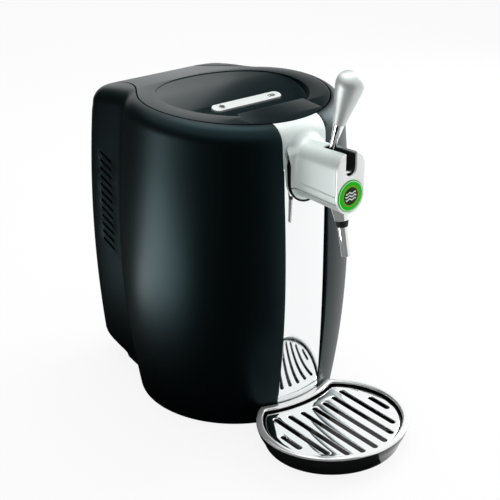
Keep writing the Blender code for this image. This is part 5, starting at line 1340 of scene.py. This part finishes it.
class DISPENSER_OT_lever(bpy.types.Operator):
    """Makes the lever's stem, its ferrule and its drop-shaped knob."""
    bl_idname = "dispenser.lever"
    bl_label = "Lever"

    def execute(self, context):
        steps = context.scene.dispenser_detail.round_steps
        here = lever_frame()
        across = Matrix.Rotation(math.pi / 2, 4, "Y")
        hub = moved(rod(HUB_RADIUS, -HUB_HALF_WIDTH, HUB_HALF_WIDTH, steps), across)
        stem = rod(STEM_RADIUS, STEM_FOOT, KNOB_START + KNOB_SOCKET - GAP, steps)
        arm = box(-ARM_HALF_WIDTH, ARM_HALF_WIDTH, -ARM_REACH, -STEM_FOOT,
                  -ARM_THICKNESS / 2, ARM_THICKNESS / 2)
        arm = moved(arm, Matrix.Rotation(math.radians(-LEVER_LEAN), 4, "X"))
        bore = moved(rod(HUB_BORE, -OVERRUN, OVERRUN, steps=32), across)
        stem = cut(joined(hub, stem, arm), bore)
        place("lever_rod", moved(stem, here), "mirror_chrome", "lever", ["lever_stem"])
        inside = STEM_RADIUS + GAP
        high = KNOB_START - GAP
        profile = [
            (inside, FERRULE_START), (FERRULE_LOW_RADIUS - TURNED_CHAMFER, FERRULE_START),
            (FERRULE_LOW_RADIUS, FERRULE_START + TURNED_CHAMFER),
            (FERRULE_HIGH_RADIUS, high - FERRULE_END_DROP),
            (FERRULE_HIGH_RADIUS - TURNED_CHAMFER, high), (inside, high)]
        place("lever_sleeve", moved(turned(profile, steps, closed=True), here), "mirror_chrome",
              "lever", ["lever_ferrule"])
        depth = KNOB_START + KNOB_SOCKET
        profile = [(0, depth), (inside, depth), (inside, KNOB_START)] + knob_profile()
        place("lever_drop", moved(turned(profile, steps), here), "satin_silver", "lever",
              ["lever_knob"], sharp=50)
        return {"FINISHED"}


# Spout

class DISPENSER_OT_spout(bpy.types.Operator):
    """Makes the spout's cone, collar and nozzle."""
    bl_idname = "dispenser.spout"
    bl_label = "Spout"

    def execute(self, context):
        steps = context.scene.dispenser_detail.round_steps
        cone = [(SPOUT_BORE, CONE_LOW), (CONE_LOW_RADIUS - TURNED_CHAMFER, CONE_LOW),
                (CONE_LOW_RADIUS, CONE_LOW + TURNED_CHAMFER), (CONE_HIGH_RADIUS, CONE_HIGH),
                (SPOUT_BORE, CONE_HIGH)]
        high = CONE_LOW - GAP
        collar = [(SPOUT_BORE, COLLAR_LOW), (COLLAR_LOW_RADIUS, COLLAR_LOW),
                  (COLLAR_HIGH_RADIUS, high - COLLAR_LAND), (COLLAR_HIGH_RADIUS, high),
                  (SPOUT_BORE, high)]
        top = COLLAR_LOW - GAP
        nozzle = [(SPOUT_BORE, NOZZLE_END), (NOZZLE_LOW_RADIUS - NOZZLE_LIP, NOZZLE_END),
                  (NOZZLE_LOW_RADIUS - NOZZLE_LIP_CUT, NOZZLE_END + NOZZLE_LIP_CUT),
                  (NOZZLE_LOW_RADIUS, NOZZLE_END + NOZZLE_LIP), (NOZZLE_HIGH_RADIUS, top),
                  (SPOUT_BORE, top)]
        cone, collar, nozzle = (moved(turned(profile, steps, closed=True), along_spout())
                                for profile in (cone, collar, nozzle))
        cone = cut(cone, side_prism(tap_outline(GAP), -TAP_FACE - OVERRUN, -LID_RADIUS))
        place("spout_shroud", cone, "soft_chrome", "base", ["spout_cone"], "mirror_chrome")
        place("spout_band", collar, "inner_black", "base", ["spout_collar"])
        place("spout_tube", nozzle, "soft_chrome", "base", ["spout_nozzle"], "mirror_chrome")
        return {"FINISHED"}


# Drip tray

def oval_point(inset, turn):
    """A point of the tray's oval, by its angle from the right-hand side."""
    wide = TRAY_HALF_WIDTH - inset
    long = TRAY_HALF_LENGTH - inset * TRAY_LENGTH_SHARE
    return wide * math.cos(turn), long * math.sin(turn) - TRAY_CENTRE


def tray_outline(inset, level):
    """The tray's oval with a bite at the rear that follows the barrel, and rounded corners."""
    steps = bpy.context.scene.dispenser_detail.tray_steps
    bite = barrel_radius(TRAY_RIM_TOP) + TRAY_BITE_GAP + inset
    low, high = 0, math.pi / 2
    # Halves the turn until the oval meets the bite
    for _ in range(40):
        meet = (low + high) / 2
        if math.hypot(*oval_point(inset, meet)) > bite:
            low = meet
        else:
            high = meet
    corner = oval_point(inset, meet)
    leave = meet - math.pi * TRAY_CORNER_SHARE
    half = [oval_point(inset, turn) for turn in level_row(-math.pi / 2, leave, steps)]
    inner = math.degrees(math.atan2(corner[1], corner[0]))
    inner -= math.degrees(math.pi * TRAY_CORNER_SHARE / 2)
    rest = arc(0, 0, bite, inner, -90, steps // 3)
    half += bezier(half[-1], corner, corner, rest[0], steps // 6)[1:]
    half += rest[1:]
    return [(x, y, level) for x, y in mirrored(half)]


def grate_slots():
    """Slots from front to rear. The inner ones end on the tray's circle and along the bite."""
    radius = GRATE_SLOT / 2
    bite = barrel_radius(TRAY_RIM_TOP) + TRAY_BITE_GAP
    rear_radius = bite + GRATE_INSET + GRATE_REAR_GAP + radius
    slots = []
    for i in range(-GRATE_SIDE_COUNT, GRATE_SIDE_COUNT + 1):
        x = i * GRATE_PITCH
        if abs(i) == GRATE_SIDE_COUNT:
            front = -GRATE_FRONT_CENTRE - GRATE_OUTER_HALF
            rear = -GRATE_FRONT_CENTRE + GRATE_OUTER_HALF
        else:
            front = -GRATE_FRONT_CENTRE - math.sqrt(GRATE_FRONT_RADIUS ** 2 - x ** 2)
            rear = -math.sqrt(rear_radius ** 2 - x ** 2)
        outline = arc(x, front + radius, radius, 180, 360, steps=14)
        outline += arc(x, rear - radius, radius, 0, 180, steps=14)
        slots.append(prism(outline, TRAY_FLOOR, TRAY_RIM_TOP))
    return merged(slots)


class DISPENSER_OT_tray(bpy.types.Operator):
    """Makes the drip tray's bowl, its bright rim and the slotted grate."""
    bl_idname = "dispenser.tray"
    bl_label = "Drip tray"

    def execute(self, context):
        low, top = TRAY_BOTTOM, TRAY_BOWL_TOP
        foot = TRAY_FOOT_INSET
        levels = [(foot * share, low + rise) for share, rise in TRAY_FOOT_ROUND]
        start, end = levels[-1][1], blend(low, top, TRAY_SIDE_TOP)
        levels += [(foot * blend(1, TRAY_SIDE_SHARE, share ** TRAY_SIDE_BEND),
                    blend(start, end, share)) for share in level_row(0, 1, steps=6)[1:]]
        levels += [(TRAY_LIP_INSET, blend(low, top, TRAY_LIP_LEVEL)), (0, top), (TRAY_WALL, top),
                   (TRAY_WALL, TRAY_LEDGE_TOP), (TRAY_LEDGE_INSET, TRAY_LEDGE_TOP),
                   (TRAY_BASIN_INSET, TRAY_FLOOR)]
        bowl = loft([tray_outline(inset, level) for inset, level in levels])
        place("tray_dish", bowl, "gloss_black", "drip_tray", ["tray_bowl"], "satin_black", sharp=40)
        low = TRAY_BOWL_TOP + GAP
        edge = TRAY_RIM_WIDTH / TRAY_RIM_ROUND
        curve = [(edge * (1 - math.cos(turn)), TRAY_RIM_TOP - edge * (1 - math.sin(turn)))
                 for turn in level_row(0, math.pi / 2, steps=5)]
        levels = [(0, low)] + curve
        levels += [(TRAY_RIM_WIDTH - inset, level) for inset, level in reversed(curve)]
        levels.append((TRAY_RIM_WIDTH, low))
        rim = loft([tray_outline(inset, level) for inset, level in levels], loop=True)
        place("tray_ring", rim, "soft_chrome", "drip_tray", ["tray_rim"], "mirror_chrome", sharp=50)
        low = TRAY_LEDGE_TOP + GAP
        plate = loft([tray_outline(GRATE_INSET, level) for level in (low, low + GRATE_THICKNESS)])
        plate = rounded(cut(plate, grate_slots()), GRATE_EDGE, angle=60, segments=3)
        place("tray_grid", plate, "mirror_chrome", "grate", ["tray_grate"], sharp=50)
        return {"FINISHED"}


# Carried-over solids

class DISPENSER_OT_solids(bpy.types.Operator):
    """Gives every solid that is kept as it is its own finish."""
    bl_idname = "dispenser.solids"
    bl_label = "Inner parts"

    def execute(self, context):
        looks = finishes()
        slots = {part["node"]: part["material_slot"] for part in frame["record"]["subparts"]}
        for name, item in frame["nodes"].items():
            look = looks.get(slots[name])
            if look is None:
                raise RuntimeError("no finish for " + name)
            item.data.materials.clear()
            item.data.materials.append(look)
        return {"FINISHED"}


# Studio

def facing(direction):
    """The turn of a light or a camera that looks in a direction."""
    return Vector(direction).to_track_quat("-Z", "Y").to_euler()


def soft_box(name, power, size, place_at, turn):
    light = bpy.data.lights.new(name, "AREA")
    light.shape = "RECTANGLE"
    light.size, light.size_y = size
    light.energy = power
    item = bpy.data.objects.new(name, light)
    bpy.context.scene.collection.objects.link(item)
    item.location = place_at
    item.rotation_euler = turn
    item.visible_camera = False
    return item


def stage_piece(name, work, material):
    """A piece of the studio, which is no part of the dispenser."""
    mesh = to_mesh(work, False)
    mesh.name = name
    mesh.materials.append(material)
    item = bpy.data.objects.new(name, mesh)
    bpy.context.scene.collection.objects.link(item)
    return item


def dark_card(name, start, end, reach, foot, height, with_floor):
    """A curved dark screen that only shows in reflections, as a photographer's flag does."""
    work = bmesh.new()
    low, high = ([work.verts.new((x, y, z)) for x, y in arc(0, 0, reach, start, end, CARD_STEPS)]
                 for z in (foot, height))
    hub = work.verts.new((0, 0, foot)) if with_floor else None
    for i in range(CARD_STEPS):
        work.faces.new((low[i], low[i + 1], high[i + 1], high[i]))
        if with_floor:
            work.faces.new((low[i], low[i + 1], hub))
    card = stage_piece(name, work, matt("card_" + name, CARD_BLACK, 0.95))
    card.visible_camera = False
    card.visible_diffuse = False
    card.visible_shadow = False


def pale_room(strength):
    """A white room for the camera and for reflections, a softer one for light."""
    world = bpy.data.worlds.new("pale_room")
    bpy.context.scene.world = world
    world.use_nodes = True
    nodes = Nodes(world.node_tree)
    nodes.tree.nodes.remove(nodes.tree.nodes["Background"])
    white = (1, 1, 1, 1)
    soft, bright = (nodes.add("ShaderNodeBackground", None, {"Color": white, "Strength": value})
                    for value in (strength, 1))
    room = nodes.add("ShaderNodeMixShader", None, {0: nodes.white_rays(), 1: soft, 2: bright})
    nodes.put(nodes.tree.nodes["World Output"].inputs["Surface"], room)


def floor_finish():
    """A pale floor that looks nearly white to the camera and keeps a soft shadow."""
    look = Shading("pale_floor")
    cloud = look.noise(scale=3, detail=2)
    look.surface(Base_Color=look.mix(cloud, (0.90, 0.90, 0.90, 1), (0.93, 0.93, 0.93, 1)),
                 Roughness=0.8)
    lit = Socket(look, look.shader.outputs[0])
    glow = look.add("ShaderNodeEmission", None, {"Strength": 1})
    share = look.white_rays() * FLOOR_WHITE_SHARE
    floor = look.add("ShaderNodeMixShader", None, {0: share, 1: lit, 2: glow})
    look.put(look.tree.nodes["Material Output"].inputs["Surface"], floor)
    return look.material


class DISPENSER_OT_studio(bpy.types.Operator):
    """Sets up the pale floor, the room, the soft boxes, the dark cards and the camera."""
    bl_idname = "dispenser.studio"
    bl_label = "Studio"

    def execute(self, context):
        scene = context.scene
        wish = scene.dispenser_studio
        scene.view_settings.view_transform = "Standard"
        work = bmesh.new()
        bmesh.ops.create_grid(work, x_segments=2, y_segments=2, size=FLOOR_HALF_SIDE)
        stage_piece("pale_floor", work, floor_finish())
        pale_room(wish.room)
        soft_box("overhead_box", wish.key, OVERHEAD_SIZE, OVERHEAD_PLACE, facing(OVERHEAD_VIEW))
        # Lies low and faces up, and only shows as a gleam in the barrel
        gleam = soft_box("left_box", wish.side, LEFT_SIZE, LEFT_PLACE,
                         (math.pi, 0, math.radians(LEFT_BEARING)))
        gleam.visible_diffuse = False
        dark_card("front_card", start=82, end=272, reach=1.6, foot=0.0004, height=1.4,
                  with_floor=True)
        dark_card("rear_card", start=18, end=58, reach=0.30, foot=0.455, height=1.2,
                  with_floor=False)
        soft_box("right_box", wish.fill, RIGHT_SIZE, RIGHT_PLACE, facing(RIGHT_VIEW))
        camera = bpy.data.cameras.new("camera")
        camera.lens = wish.lens
        camera.sensor_width = SENSOR_WIDTH
        camera.clip_start = NEAR_CLIP
        item = bpy.data.objects.new("camera", camera)
        scene.collection.objects.link(item)
        item.location = wish.camera_place
        item.rotation_euler = facing(wish.camera_view)
        scene.camera = item
        return {"FINISHED"}


class DISPENSER_PT_looks(bpy.types.Panel):
    """Lists the steps that dress the dispenser."""
    bl_label = "Keg dispenser"
    bl_idname = "DISPENSER_PT_looks"
    bl_space_type = "VIEW_3D"
    bl_region_type = "UI"
    bl_category = "Keg dispenser"

    def draw(self, context):
        column = self.layout.column(align=True)
        for step in STEPS:
            column.operator(step.bl_idname)
        for group in (context.scene.dispenser_finishes, context.scene.dispenser_detail,
                      context.scene.dispenser_studio):
            settings = self.layout.column()
            for key in group.__annotations__:
                settings.prop(group, key)


GROUPS = {
    "dispenser_finishes": DispenserFinishes,
    "dispenser_detail": DispenserDetail,
    "dispenser_studio": DispenserStudio,
}
STEPS = (
    DISPENSER_OT_solids, DISPENSER_OT_body, DISPENSER_OT_front, DISPENSER_OT_lid,
    DISPENSER_OT_controls, DISPENSER_OT_tap, DISPENSER_OT_badge, DISPENSER_OT_lever,
    DISPENSER_OT_spout, DISPENSER_OT_tray, DISPENSER_OT_studio,
)


def register():
    for group in GROUPS.values():
        bpy.utils.register_class(group)
    for name, group in GROUPS.items():
        setattr(bpy.types.Scene, name, PointerProperty(type=group))
    for step in STEPS + (DISPENSER_PT_looks,):
        bpy.utils.register_class(step)


def unregister():
    for step in reversed(STEPS + (DISPENSER_PT_looks,)):
        bpy.utils.unregister_class(step)
    for name in GROUPS:
        delattr(bpy.types.Scene, name)
    for group in GROUPS.values():
        bpy.utils.unregister_class(group)


def main():
    register()
    bpy.ops.dispenser.solids()
    bpy.ops.dispenser.body()
    bpy.ops.dispenser.front()
    bpy.ops.dispenser.lid()
    bpy.ops.dispenser.controls()
    bpy.ops.dispenser.tap()
    bpy.ops.dispenser.badge()
    bpy.ops.dispenser.lever()
    bpy.ops.dispenser.spout()
    bpy.ops.dispenser.tray()
    bpy.ops.dispenser.studio()


if __name__ == "__main__":
    main()
